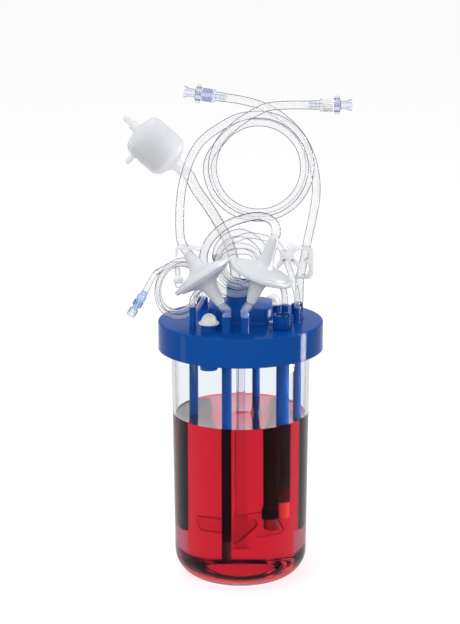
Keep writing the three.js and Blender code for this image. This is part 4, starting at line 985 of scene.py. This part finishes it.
HARVEST = [
    port_top("harvest"), (0.0426, -0.0125, 0.2248), (0.0407, -0.013, 0.2335),
    (0.0384, -0.014, 0.2414), (0.0359, -0.015, 0.2486), (0.0336, -0.0156, 0.2557),
    (0.0306, -0.0146, 0.2618), (0.0264, -0.012, 0.2658), (0.0218, -0.0105, 0.2682),
]
RECYCLE = [
    (0.0213, -0.0137, 0.2396), (0.0282, -0.0066, 0.2344), (0.0326, -0.001, 0.2274),
    (0.0339, 0.0016, 0.2196), port_top("recycle"),
]
SAMPLING_START = [
    port_top("sample"), (-0.0362, -0.026, 0.2242), (-0.0345, -0.0236, 0.228),
    (-0.0315, -0.019, 0.2304), (-0.0286, -0.014, 0.232), (-0.0264, -0.0094, 0.2356),
]
SAMPLING_END = [
    (-0.0636, -0.0278, 0.2456), (-0.0674, -0.0293, 0.2398), (-0.0701, -0.0302, 0.2344),
    VALVE.place,
]
EXHAUST = [
    CAPSULE.at(CAPSULE_REACH + FIT), CAPSULE.at(CAPSULE_REACH + 0.0036),
    (-0.0338, 0.0094, 0.303), (-0.0264, 0.013, 0.2915), (-0.0203, 0.017, 0.281),
    (-0.015, 0.022, 0.2708), (-0.0097, 0.028, 0.2588), (-0.0062, 0.035, 0.2457),
    (-0.0044, 0.041, 0.233), (PORTS["exhaust"][0].x, PORTS["exhaust"][0].y, 0.224),
    port_top("exhaust"),
]

# Turns of the coils, as (angle in degrees, radius, depth) round each coil's centre
GAS_COIL = Vector((0.0134, -0.008, 0.3226))
GAS_TURNS = [
    (118, 0.0403, 0.0008), (95, 0.0387, 0.0023), (-150, 0.0387, 0.0023), (-180, 0.0383, 0.0018),
    (-215, 0.0343, -0.0023), (-500, 0.0343, -0.0023), (-560, 0.0346, -0.0024),
    (-595, 0.0356, -0.0037), (-622, 0.0392, -0.0041),
]
CENTRE_COIL = Vector((-0.0012, -0.012, 0.25))
CENTRE_TILT = -16
LOOP_TURNS = [
    (190, 0.0258, 0.0003), (225, 0.0242, 0.0008), (270, 0.0231, 0.0012), (315, 0.0216, 0.0016),
    (360, 0.0204, 0.002), (405, 0.0216, 0.0016), (450, 0.0231, 0.0012), (480, 0.0216, 0.0026),
    (505, 0.0196, 0.005), (522, 0.0182, 0.008), (523, 0.0182, 0.008),
]
THIN_TURNS = [
    (66, 0.0226, -0.0044), (92, 0.0182, -0.0042), (180, 0.016, -0.0034), (270, 0.0183, -0.0026),
    (360, 0.016, -0.0022), (450, 0.0132, -0.0004), (540, 0.0142, 0.001), (630, 0.0155, 0.0014),
    (720, 0.014, 0.0002), (810, 0.0086, -0.0036), (900, 0.0124, -0.0063), (985, 0.0136, -0.0068),
    (1025, 0.0196, -0.0066), (1045, 0.0243, -0.0032), (1046, 0.0243, -0.0032),
]
SAMPLE_COIL = Vector((-0.0456, -0.015, 0.2314))
SAMPLE_YAW = 35
SAMPLE_TURNS = [
    (25, 0.0202, -0.0056), (62, 0.022, -0.0022), (370, 0.022, -0.002), (425, 0.0184, 0.0018),
    (810, 0.0184, 0.0018), (845, 0.0206, 0.0024), (860, 0.0236, 0.0018), (861, 0.0236, 0.0018),
]


class BIOREACTOR_OT_clamps(bpy.types.Operator):
    """Pinch clamps, each one springy moulding with its tube through it"""
    bl_idname = "bioreactor.clamps"
    bl_label = "Clamps"

    depth = 0.0104
    outlines = {
        "feed_clamp": (0.0006, FEED, 0.003175, [[
            (0.042, 0.2589), (0.0504, 0.2589), (0.052, 0.2566), (0.0514, 0.2514),
            (0.0476, 0.2494), (0.0516, 0.2474), (0.0519, 0.2406), (0.0502, 0.238),
            (0.041, 0.2376), (0.041, 0.236), (0.0526, 0.2364), (0.0551, 0.2394),
            (0.0551, 0.2574), (0.0516, 0.2605), (0.042, 0.2605)]]),
        "harvest_clamp": (-0.0152, HARVEST, 0.0023, [
            [(0.0386, 0.2663), (0.0344, 0.2623), (0.0354, 0.259), (0.0394, 0.2583),
             (0.0431, 0.2621)],
            [(0.03, 0.2604), (0.0394, 0.2604), (0.0404, 0.2533), (0.0298, 0.2533)],
            [(0.0328, 0.2558), (0.0304, 0.2534), (0.0269, 0.2488), (0.0283, 0.2474),
             (0.034, 0.2536)],
            [(0.0392, 0.2552), (0.0451, 0.2493), (0.0437, 0.2479), (0.0364, 0.2536)]]),
        "gas_clamp": (-0.0354, GAS_RISE, 0.003175, [[
            (-0.0478, 0.2672), (-0.0464, 0.2688), (-0.0376, 0.2684), (-0.0338, 0.2675),
            (-0.0308, 0.267), (-0.028, 0.2692), (-0.0274, 0.2684), (-0.0305, 0.2653),
            (-0.0338, 0.2655), (-0.0384, 0.2666), (-0.0464, 0.2664), (-0.0468, 0.2612),
            (-0.0482, 0.2612)]]),
    }

    def execute(self, context):
        for node, (depth_place, route, radius, outlines) in self.outlines.items():
            plates = [self.plate(outline, depth_place) for outline in outlines]
            way = rod_along(smooth_route(route, 0.003), radius + 0.00045, 24)
            mesh = carved(plates[0], plates[1:], [way], angle=40)
            piece(node + "_moulding", mesh, [node], finish="clamp_plastic")
        return {"FINISHED"}

    def plate(self, outline, depth_place):
        mesh = slab(outline, self.depth, 0.0003)
        mesh.transform(Matrix.Translation((0, depth_place, 0))
                       @ Matrix.Rotation(pi / 2, 4, "X")
                       @ Matrix.Translation((0, 0, -self.depth / 2)))
        return mesh


class BIOREACTOR_OT_tubing(bpy.types.Operator):
    """The six free lines of clear tubing, with their coils"""
    bl_idname = "bioreactor.tubing"
    bl_label = "Tubing"

    def execute(self, context):
        sizes = settings("tubing")
        gas = GAS_RISE + ring_route(GAS_COIL, GAS_TURNS) + GAS_LEAVE
        self.line("gas_line_a", gas, sizes.line, "connector",
                  ["gas_connector_a_fitting", "gas_connector_a_ring", "gas_clamp_moulding"],
                  ["gas_line_a_rise", "gas_line_a_coil", "gas_line_a_end"])
        self.line("feed_tube", FEED, sizes.line, "connector",
                  ["feed_connector_fitting", "feed_connector_ring", "feed_clamp_moulding"],
                  ["feed_line"])
        back_of_coil = [(-0.0176, 0.0032, 0.2489), (-0.0182, 0.0072, 0.245), GAS_END_B.place]
        loop = LOOP + ring_route(CENTRE_COIL, LOOP_TURNS, CENTRE_TILT) + back_of_coil
        self.line("gas_line_b", loop, sizes.line, "connector",
                  ["gas_connector_b_fitting", "gas_connector_b_ring"],
                  ["gas_line_b_loop", "centre_coil", "gas_line_b_end"])
        thin = HARVEST + ring_route(CENTRE_COIL, THIN_TURNS, CENTRE_TILT) + RECYCLE
        self.line("harvest_tube", thin, sizes.thin, "object", ["harvest_clamp_moulding"],
                  ["harvest_line", "recycle_line"])
        sample = (SAMPLING_START + ring_route(SAMPLE_COIL, SAMPLE_TURNS, yaw=SAMPLE_YAW)
                  + SAMPLING_END)
        self.line("sampling_tube", sample, sizes.sample, "fitting",
                  ["sampling_valve", "sampling_valve_lid", "branch_tube", "branch_socket",
                   "branch_stopper"],
                  ["sampling_line_start", "sampling_line_coil", "sampling_line_end"])
        self.line("exhaust_tube", EXHAUST[::-1], sizes.exhaust, "fitting",
                  ["exhaust_filter_shell"], ["exhaust_line"], "silicone_tubing")
        self.sleeve("a", "sparge", FILTER_A, STEM_A[1])
        self.sleeve("b", "overlay", FILTER_B, STEM_B[1])
        return {"FINISHED"}

    def line(self, name, points, radius, far_end, on_it, replaces, finish="soft_tubing"):
        sizes = settings("tubing")
        path = smooth_route(points, sizes.step)
        mesh = swept(path, radius, radius * sizes.bore, sizes.sides, SWELL)
        for each in (finish, "tube_bore"):
            mesh.materials.append(bpy.data.materials[each])
        line = piece(name, mesh, replaces)

    def sleeve(self, side, port, axis, stem):
        foot = port_top(port)
        points = [foot, foot + Vector((0, 0, 0.005)), axis.at(-stem - 0.0016),
                  axis.at(-stem - FIT)]
        mesh = swept(smooth_route(points, 0.0006), 0.00345, 0.00275, 32)
        piece("sleeve_" + side, mesh, ["filter_sleeve_" + side],
              finish="clear_sleeve")


class BIOREACTOR_OT_filters(bpy.types.Operator):
    """The two disc vent filters and the exhaust filter capsule"""
    bl_idname = "bioreactor.filters"
    bl_label = "Filters"

    def execute(self, context):
        for side, axis, stems in (("a", FILTER_A, STEM_A), ("b", FILTER_B, STEM_B)):
            name = "gas_filter_" + side
            piece("vent_" + side, self.disc(*stems), [name], axis,
                  "filter_housing")
        self.capsule()
        return {"FINISHED"}

    def disc(self, upper, lower):
        rim, weld = 0.0242, 0.0017

        def half(stem, side):
            points = [(0.0029, side * stem), (0.0034, side * (stem - 0.0006)),
                      (0.0043, side * (stem * 0.62 + 0.004)), (0.0055, side * 0.0112),
                      (0.0063, side * 0.0084), (0.0085, side * 0.0063), (0.0122, side * 0.0049),
                      (0.0165, side * 0.0038), (0.0197, side * 0.0031),
                      (0.0201, side * (weld - 0.0002)), (0.021, side * weld),
                      (rim - 0.0006, side * weld)]
            return [Vector(point) for point in points]

        outline = ([Vector((0, -lower))] + half(lower, -1) + [Vector((rim, -weld + 0.0006)),
                   Vector((rim, weld - 0.0006))] + half(upper, 1)[::-1] + [Vector((0, upper))])
        return turned(outline, 96, angle=40, edge=0.0012, steps=3)

    def capsule(self):
        half, dome, radius = 0.0125, 0.019, 0.017
        barb, neck = 0.0035, 0.0046
        outline = [(0, -dome - 0.0136), (0.0014, -dome - 0.0136), (0.0026, -dome - 0.0095),
                   (0.0019, -dome - 0.0092), (0.0026, -dome - 0.0056), (barb, -dome - 0.0054),
                   (barb, -dome - 0.0006), (0.006, -dome + 0.0002), (0.0105, -dome + 0.001),
                   (0.0142, -half - 0.0036), (0.0162, -half - 0.001), (radius, -half + 0.0026),
                   (radius, half - 0.0026), (0.0162, half + 0.001), (0.0142, half + 0.0036),
                   (0.0105, dome - 0.001), (0.0066, dome + 0.0004), (neck, dome + 0.0026),
                   (neck - 0.0003, dome + 0.0088), (neck, dome + 0.011), (0, dome + 0.011)]
        shell = turned(outline, 96, angle=40, edge=0.0012, steps=3)
        vent = turned([(0, 0), (0.0019, 0), (0.0019, 0.0092), (0.0014, 0.0106), (0, 0.0106)], 24,
                      edge=0.0003)
        vent.transform(Matrix.Translation((radius - 0.003, 0, -half + 0.005))
                       @ Matrix.Rotation(pi / 2, 4, "Y"))
        seam = turned([(0.0168, -0.0004), (0.0173, -0.0004), (0.0173, 0.0004), (0.0168, 0.0004)],
                      96, closed=True, edge=0.0002)
        body = merged([shell, vent, seam])
        piece("exhaust_filter_shell", shaded(body, 40), ["exhaust_filter"],
              CAPSULE, "capsule_housing")
        core = turned([(0, -0.0125), (0.0128, -0.0125), (0.0128, 0.0125), (0, 0.0125)], 48,
                      edge=0.001)
        pleat = slab([(-0.0006, -0.0004), (0.0006, -0.0001), (0.0006, 0.0001), (-0.0006, 0.0004)],
                     0.023)
        core = with_copies(core, pleat, 40, 0.0128, -0.0115, "filter_core")
        piece("capsule_cartridge", core, [], CAPSULE)


class BIOREACTOR_OT_head_plate(bpy.types.Operator):
    """Head plate with its hub block, drive tower, port posts, barbs and sockets"""
    bl_idname = "bioreactor.head_plate"
    bl_label = "Head plate"

    cavity = 0.009
    tower = 0.0108
    recess = 0.0014
    dip_bosses = {"sampling_dip_tube": 0.0032, "sparge_dip_tube": 0.0204,
                  "harvest_dip_tube": 0.0032, "addition_dip_tube": 0.0032}

    def execute(self, context):
        sizes = settings("vessel")
        added = [placed(slab(self.octagon(width, depth, 0.0066), height, edge, steps),
                        Vector((0, 0, ROOT)))
                 for width, depth, height, edge, steps in (
                     (0.0243, 0.022, 0.0137, 0.0009, 3),      # the hub block
                     (0.0252, 0.0229, 0.0044, 0.0004, 2))]    # and its plinth
        added.append(self.drive_tower())
        added += [self.post(name) for name in PORTS]
        cuts = [rod(self.tower - 0.0018, TOWER_TOP - self.recess, TOWER_TOP + 0.001, 64)]
        added += self.wide_posts()
        cuts += self.bores()
        mesh = carved(self.plate(sizes), added, cuts, angle=30)
        finished_by_face(mesh, ("royal_blue_moulding", "plate_top_blue"),
                         lambda centre, normal: normal.z > 0.6)
        piece("head_plate_moulding", mesh, ["head_plate"])
        self.under_plate()
        return {"FINISHED"}

    def plate(self, sizes):
        inner = SKIRT_RADIUS - 0.0026
        spigot = sizes.radius - sizes.wall - FIT
        outline = [
            (0, VESSEL_TOP), (spigot - 0.002, VESSEL_TOP), (spigot - 0.002, VESSEL_TOP - 0.008),
            (spigot, VESSEL_TOP - 0.008), (spigot, VESSEL_TOP), (inner, VESSEL_TOP),
            (inner, SKIRT_BOTTOM), (SKIRT_RADIUS - 0.0006, SKIRT_BOTTOM),
            (SKIRT_RADIUS, SKIRT_BOTTOM + 0.0006),
        ]
        outline = rounded(outline, 0.0003, 2)[:-1]
        edge = arc(SKIRT_RADIUS - sizes.rounding, PLATE_TOP - sizes.rounding, sizes.rounding,
                   0, 90, 8)
        return turned([*outline, (SKIRT_RADIUS, SKIRT_BOTTOM + 0.0006), *edge, (0, PLATE_TOP)],
                      sizes.facets)

    def octagon(self, width, depth, corner):
        return [(width - corner, -depth), (width, -depth + corner), (width, depth - corner),
                (width - corner, depth), (-width + corner, depth), (-width, depth - corner),
                (-width, -depth + corner), (-width + corner, -depth)]

    def drive_tower(self):
        foot = PLATE_TOP + 0.0127
        return turned([(0, VESSEL_TOP + 0.001), (self.tower, VESSEL_TOP + 0.001),
                       (self.tower, foot - 0.0004), (self.tower + 0.0011, foot - 0.0004),
                       (self.tower + 0.0003, foot + 0.0003), (self.tower, foot + 0.0012),
                       (self.tower, TOWER_TOP - 0.0006), (self.tower - 0.0002, TOWER_TOP - 0.0002),
                       (self.tower - 0.0006, TOWER_TOP), (0, TOWER_TOP)], 64)

    def post(self, name):
        place, radius, height, barb = PORTS[name]
        foot, top = ROOT, PLATE_TOP + height
        flare = [(0, foot), (radius + 0.0014, foot), (radius + 0.0014, PLATE_TOP + 0.0001),
                 (radius + 0.0004, PLATE_TOP + 0.0005), (radius, PLATE_TOP + 0.0015)]
        if barb:
            ridge, slim = 0.00245, 0.0017
            head = [(radius, top - 0.0003), (radius - 0.0003, top), (slim, top),
                    (slim, top + 0.0012), (ridge, top + 0.0014), (slim, top + 0.0031),
                    (ridge - 0.0001, top + 0.0033), (slim - 0.0001, top + 0.005)]
            tip = top + 0.005
        else:
            head = [(radius, top - 0.0003), (radius - 0.0003, top)]
            tip = top
        return placed(turned([*flare, *head, (0, tip)], 36), place)

    def rods(self, rows):
        """A rod on the axis of a node for each (node, radius, foot, top, segments, edge)."""
        return [placed(rod(*sizes), upright(node)[0]) for node, *sizes in rows]

    def wide_posts(self):
        posts = [placed(self.flared_rod(0.0059, STOPPER_SEAT), upright(node)[0])
                 for node in STOPPERS]
        rows = [("front_stopper", 0.0066, VESSEL_TOP - 0.0244, ROOT, 40, 0.0005),
                ("sensor_body", 0.0055, ROOT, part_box("sensor_seal")[0].z, 40)]
        rows += [(node, upright(node)[1] + 0.0013, VESSEL_TOP - boss, ROOT, 32, 0.0003)
                 for node, boss in self.dip_bosses.items()]
        return posts + self.rods(rows)

    def flared_rod(self, radius, top):
        return turned([(0, ROOT), (radius + 0.001, ROOT),
                       (radius + 0.001, PLATE_TOP + 0.0001), (radius + 0.0002, PLATE_TOP + 0.0004),
                       (radius, PLATE_TOP + 0.0012), (radius, top - 0.0003),
                       (radius - 0.0003, top), (0, top)], 40)

    def bores(self):
        foot = VESSEL_TOP - 0.001
        rows = [(node, 0.0044, PLATE_TOP - 0.004, PLATE_TOP + 0.006) for node in STOPPERS]
        rows += [("front_stopper", 0.0051, VESSEL_TOP - 0.0254, VESSEL_TOP - 0.002),
                 ("sensor_body", upright("sensor_body")[1] + FIT, foot, PLATE_TOP + 0.012, 40),
                 ("thermowell_tip", upright("thermowell_tip")[1] + FIT, foot, PLATE_TOP + 0.001)]
        rows += [(node, upright(node)[1] + FIT, foot - boss, ROOT)
                 for node, boss in self.dip_bosses.items()]
        cavity = rod(self.cavity, VESSEL_TOP - 0.0098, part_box("magnet_rotor")[1].z + 0.001, 48)
        return [cavity, *self.rods(rows)]

    def under_plate(self):
        _, radius, foot, top = upright("shaft_bush")
        bore = 0.00385
        outline = [(bore, foot), (radius, foot), (radius, foot + 0.002), (0.0087, foot + 0.002),
                   (0.0087, top), (bore, top)]
        bush = turned(outline, 48, closed=True, edge=0.0003)
        piece("hub_bush", bush, ["shaft_bush"], finish="white_moulding")
        for node, finish in (("thrust_washer", "filter_housing"), ("magnet_rotor", "rotor_black"),
                             ("sensor_seal", "seal_rubber")):
            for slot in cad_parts[node].material_slots:
                slot.material = bpy.data.materials[finish]


class BIOREACTOR_OT_stoppers(bpy.types.Operator):
    """The two white stoppers"""
    bl_idname = "bioreactor.stoppers"
    bl_label = "Stoppers"

    def execute(self, context):
        for side in ("front", "rear"):
            centre, radius, foot, top = upright(side + "_stopper")
            seat, brim = STOPPER_SEAT, STOPPER_SEAT + 0.0018
            dome = 0.0058
            outline = [(0, foot), (0.0037, foot), (0.0041, foot + 0.0004), (0.0041, seat),
                       (radius - 0.0006, seat), (radius, seat + 0.0005), (radius, brim - 0.0005),
                       (radius - 0.0006, brim), (dome + 0.0006, brim + 0.0004),
                       (dome, brim + 0.0012), (dome * 0.93, brim + 0.0028),
                       (dome * 0.72, brim + 0.0047), (dome * 0.4, top - 0.0005),
                       (dome * 0.18, top - 0.0001), (0, top)]
            mesh = turned(outline, 56, angle=50, edge=0.0005, steps=3)
            piece(side + "_bung", mesh, [side + "_stopper"], centre,
                  "white_moulding")
        return {"FINISHED"}


class BIOREACTOR_OT_sensor(bpy.types.Operator):
    """Sensor with its red collar and glass tip, and the castellated screw cap"""
    bl_idname = "bioreactor.sensor"
    bl_label = "Sensor"

    def execute(self, context):
        centre, radius, foot, top = upright("sensor_body")
        head = [(0, foot), (radius, foot), (radius, LIQUID_LEVEL), (radius, top - 0.0008),
                (radius - 0.0008, top), (0.0022, top), (0.0022, top - 0.0012), (0, top - 0.0012)]
        barrel = wetted(turned(head, 48, edge=0.0003))
        piece("sensor_barrel", barrel, ["sensor_body"], centre)
        _, _, low, high = upright("sensor_collar")
        collar = [(0, low), (radius - 0.0001, low), (radius - 0.0001, low + 0.004),
                  (radius - 0.0005, low + 0.0043), (radius - 0.0005, low + 0.0049),
                  (radius - 0.0001, low + 0.0052), (radius - 0.0001, high), (0, high)]
        piece("sensor_collar_ring", turned(collar, 48, edge=0.0002), ["sensor_collar"],
              centre, "collar_red")
        _, _, low, high = upright("sensor_tip")
        wall = radius - FIT
        outline = [(0, low), *arc(wall - 0.0022, low + 0.0022, 0.0022, -90, 0, 8),
                   (wall, high), (0, high)]
        piece("sensor_bulb", turned(outline, 48), ["sensor_tip"], centre,
              "sensor_glass")
        self.screw_cap()
        return {"FINISHED"}

    def screw_cap(self):
        centre, radius, foot, top = upright("sensor_screw_cap")
        bore = upright("sensor_body")[1] + 0.0005
        roof = top - 0.0015
        under = roof - 0.0016
        wall = radius - 0.0005
        outline = [(wall - 0.001, foot), (wall, foot), (wall, roof), (bore, roof), (bore, under),
                   (wall - 0.001, under)]
        cap = turned(outline, 64, closed=True, edge=0.0003)
        blue = "royal_blue_moulding"
        flute = slab([(-0.0004, -0.0008), (0.0003, -0.0006), (0.0005, -0.0003), (0.0005, 0.0003),
                      (0.0003, 0.0006), (-0.0004, 0.0008)], roof - foot - 0.001, 0.0001)
        cap = with_copies(cap, flute, 16, wall, foot + 0.0004, blue)
        tooth = slab([(-0.0009, -0.0016), (0.0007, -0.0019), (0.0007, 0.0019), (-0.0009, 0.0016)],
                     0.0016, 0.0002)
        cap = with_copies(cap, tooth, 8, wall - 0.0007, roof - 0.0001, blue, phase=pi / 8)
        piece("fluted_cap", cap, ["sensor_screw_cap"], centre, body="sensor_cap")


class BIOREACTOR_OT_dip_tubes(bpy.types.Operator):
    """Dip tubes, sparging frit and thermowell"""
    bl_idname = "bioreactor.dip_tubes"
    bl_label = "Dip tubes"

    def execute(self, context):
        for node, name, finish, slot in (
                ("sampling_dip_tube", "sampling_dip", "inner_blue", "blue_plastic"),
                ("sparge_dip_tube", "sparge_dip", "inner_blue", "blue_plastic"),
                ("harvest_dip_tube", "harvest_dip", "inner_blue", "blue_plastic"),
                ("addition_dip_tube", "addition_dip", "wet_clear", "clear_plastic")):
            centre, radius, foot, top = upright(node)
            bore = radius - 0.001
            level = LIQUID_LEVEL
            outline = [(bore, foot), (radius, foot), (radius, level), (radius, top), (bore, top),
                       (bore, level)]
            mesh = turned(outline, 40, closed=True, edge=0.0003)
            # The blue dips get the painted shaded blue above the medium and the painted dark one
            # below
            if finish == "inner_blue":
                wetted(mesh)
                finish = None
            piece(name, mesh, [node], centre, finish)
        self.frit()
        self.thermowell()
        return {"FINISHED"}

    def frit(self):
        centre, radius, foot, top = upright("sparge_frit")
        seat = upright("sparge_dip_tube")[2]
        outline = [(0, foot), (radius - 0.0006, foot), (radius, foot + 0.0006), (radius, seat),
                   (radius - 0.0013, seat), (radius - 0.0013, top), (0, top)]
        mesh = turned(outline, 40, edge=0.0003)
        piece("sparge_stone", mesh, ["sparge_frit"], centre, "sintered_stone")

    def thermowell(self):
        centre, radius, foot, top = upright("thermowell")
        slim, bore = 0.00305, 0.00205
        step = foot + 0.01
        level = LIQUID_LEVEL
        outline = [(0, foot), (radius, foot), (radius, step - 0.0006), (slim + 0.0002, step),
                   (slim, step + 0.0008), (slim, level), (slim, top), (bore, top), (bore, level),
                   (bore, foot + 0.002), (0, foot + 0.002)]
        mesh = wetted(turned(outline, 40, edge=0.0003))
        piece("thermowell_sheath", mesh, ["thermowell"], centre)
        centre, radius, foot, top = upright("thermowell_tip")
        outline = [*arc(0, foot + radius, radius, -90, 0, 10), (radius, top), (0, top)]
        mesh = turned(outline, 40)
        piece("thermowell_end", mesh, ["thermowell_tip"], centre, "well_steel")


class BIOREACTOR_OT_drive(bpy.types.Operator):
    """Clear drive shaft and the three-bladed pitched impeller"""
    bl_idname = "bioreactor.drive"
    bl_label = "Drive"

    blades = 3
    pitch = 45
    first_blade = -82
    blade_width = 0.022
    blade_thickness = 0.0016
    blade_height = 0.0405
    rim_area = 4e-5              # the faces round a blade's edge are smaller than this; they get a painted dark finish

    def execute(self, context):
        _, radius, foot, top = upright("drive_shaft")
        outline = [(0, foot), (radius, foot), (radius, LIQUID_LEVEL), (radius, top), (0, top)]
        shaft = wetted(turned(outline, 48, edge=0.0004), "clear_shaft", "wet_shaft")
        piece("shaft_rod", shaft, ["drive_shaft"], body=SPINNING)
        self.impeller(radius)
        return {"FINISHED"}

    def impeller(self, shaft_radius):
        hub, foot, height, reach = 0.0064, 0.0235, 0.025, 0.025
        bore = shaft_radius + FIT
        outline = [(bore, foot), (hub - 0.0006, foot), (hub, foot + 0.0006),
                   (hub, foot + height - 0.0012), (hub - 0.0012, foot + height),
                   (bore, foot + height)]
        body = turned(outline, 48, closed=True, edge=0.0003)
        blade = self.blade(hub - 0.001, reach)
        mesh = with_copies(body, blade, self.blades, 0, self.blade_height, "wet_clear",
                           pitch=radians(self.pitch), phase=radians(self.first_blade))
        # The blades' small rim faces get the painted dark rim finish
        mesh.materials.append(bpy.data.materials["blade_edge"])
        for face in mesh.polygons:
            past_hub = hypot(face.center.x, face.center.y) > hub + 0.0008
            face.material_index = int(past_hub and face.area < self.rim_area)
        piece("pitched_impeller", mesh, ["impeller"], body=SPINNING)

    def blade(self, start, end):
        half = self.blade_width / 2
        outline = [(start, -half), (end - 0.003, -half), (end - 0.0007, -half + 0.0016),
                   (end, -half + 0.005), (end, half - 0.005), (end - 0.0007, half - 0.0016),
                   (end - 0.003, half), (start, half)]
        mesh = slab(outline, self.blade_thickness, 0.0002, 1)
        mesh.transform(Matrix.Translation((0, 0, -self.blade_thickness / 2)))
        return mesh


class BIOREACTOR_OT_vessel(bpy.types.Operator):
    """Clear rigid vessel and the medium in it"""
    bl_idname = "bioreactor.vessel"
    bl_label = "Vessel"

    def execute(self, context):
        sizes = settings("vessel")
        self.shell(sizes)
        self.medium(sizes)
        return {"FINISHED"}

    def radius_at(self, sizes, height):
        share = max(0.0, (height - sizes.fillet) / (VESSEL_TOP - sizes.fillet))
        return sizes.radius - sizes.draft * (1 - min(1.0, share))

    def inside(self, sizes, inset, top):
        """The inner face's outline, moved so far into the vessel."""
        fillet = sizes.fillet - sizes.wall - inset
        floor = sizes.floor + inset
        wall = self.radius_at(sizes, sizes.fillet) - sizes.wall - inset
        return [(0, floor), *arc(wall - fillet, floor + fillet, fillet, -90, 0, 16),
                (self.radius_at(sizes, top) - sizes.wall - inset, top)]

    def shell(self, sizes):
        foot = self.radius_at(sizes, 0)
        flange = VESSEL_TOP - 0.003
        rim = [(self.radius_at(sizes, flange), flange), (RIM_RADIUS, flange),
               (RIM_RADIUS, VESSEL_TOP)]
        level = LIQUID_LEVEL + sizes.meniscus
        waterline = (self.radius_at(sizes, level) - sizes.wall, level)
        inside = self.inside(sizes, 0, VESSEL_TOP)
        outline = [(0, 0), *arc(foot - sizes.fillet, sizes.fillet, sizes.fillet, -90, 0, 18),
                   *rim, inside[-1], waterline, *inside[-2::-1]]
        mesh = turned(outline, sizes.facets, angle=40)
        finished_by_face(mesh, ("clear_vessel", "wetted_vessel"), lambda centre, normal: (
            centre.z < LIQUID_LEVEL + sizes.meniscus
            and normal.dot(Vector((centre.x, centre.y, centre.z - 0.06))) < 0))
        piece("vessel_shell", mesh, ["vessel"])

    def medium(self, sizes):
        level = LIQUID_LEVEL
        wall = self.radius_at(sizes, level) - sizes.wall
        shaft = upright("drive_shaft")[1] - WEB
        climb = sizes.meniscus
        surface = [(wall - 0.0035, level), (wall - 0.0015, level + climb * 0.2),
                   (wall - 0.0005, level + climb * 0.55), (wall + WEB, level + climb)]
        collar = [(shaft, level + climb * 1.3), (shaft + 0.0004, level + climb * 0.7),
                  (shaft + 0.0012, level + climb * 0.25), (shaft + 0.003, level)]
        outline = [*self.inside(sizes, -WEB, level)[:-1], *surface[::-1], *collar[::-1],
                   (0, level + climb * 1.3)]
        mesh = turned(outline, sizes.facets, angle=60)
        piece("medium_fill", mesh, ["culture_medium"], finish="culture_red")


STEPS = ("stage", "finishes", "connectors", "sampling_fittings", "clamps", "filters", "tubing",
         "head_plate", "stoppers", "sensor", "dip_tubes", "drive", "vessel")
OPERATORS = {kind.bl_idname.split(".")[1]: kind for kind in (
    BIOREACTOR_OT_stage, BIOREACTOR_OT_finishes, BIOREACTOR_OT_connectors,
    BIOREACTOR_OT_sampling_fittings, BIOREACTOR_OT_clamps, BIOREACTOR_OT_filters,
    BIOREACTOR_OT_tubing, BIOREACTOR_OT_head_plate, BIOREACTOR_OT_stoppers,
    BIOREACTOR_OT_sensor, BIOREACTOR_OT_dip_tubes, BIOREACTOR_OT_drive, BIOREACTOR_OT_vessel)}


class BIOREACTOR_PT_panel(bpy.types.Panel):
    """Steps and sizes of the bench bioreactor"""
    bl_idname = "BIOREACTOR_PT_panel"
    bl_label = "Bench bioreactor"
    bl_space_type = "VIEW_3D"
    bl_region_type = "UI"
    bl_category = "Bioreactor"

    def draw(self, context):
        for step in STEPS:
            self.layout.operator(OPERATORS[step].bl_idname)
        for name, kind in SETTINGS.items():
            box = self.layout.box()
            box.label(text=name.capitalize())
            for prop in kind.__annotations__:
                box.prop(settings(name), prop)


def register():
    for kind in (*SETTINGS.values(), *OPERATORS.values(), BIOREACTOR_PT_panel):
        bpy.utils.register_class(kind)
    for name, kind in SETTINGS.items():
        setattr(bpy.types.Scene, "bioreactor_" + name, PointerProperty(type=kind))


def unregister():
    for name in SETTINGS:
        delattr(bpy.types.Scene, "bioreactor_" + name)
    for kind in (BIOREACTOR_PT_panel, *OPERATORS.values(), *SETTINGS.values()):
        bpy.utils.unregister_class(kind)


def main():
    register()
    for step in STEPS:
        getattr(bpy.ops.bioreactor, step)()


if __name__ == "__main__":
    main()
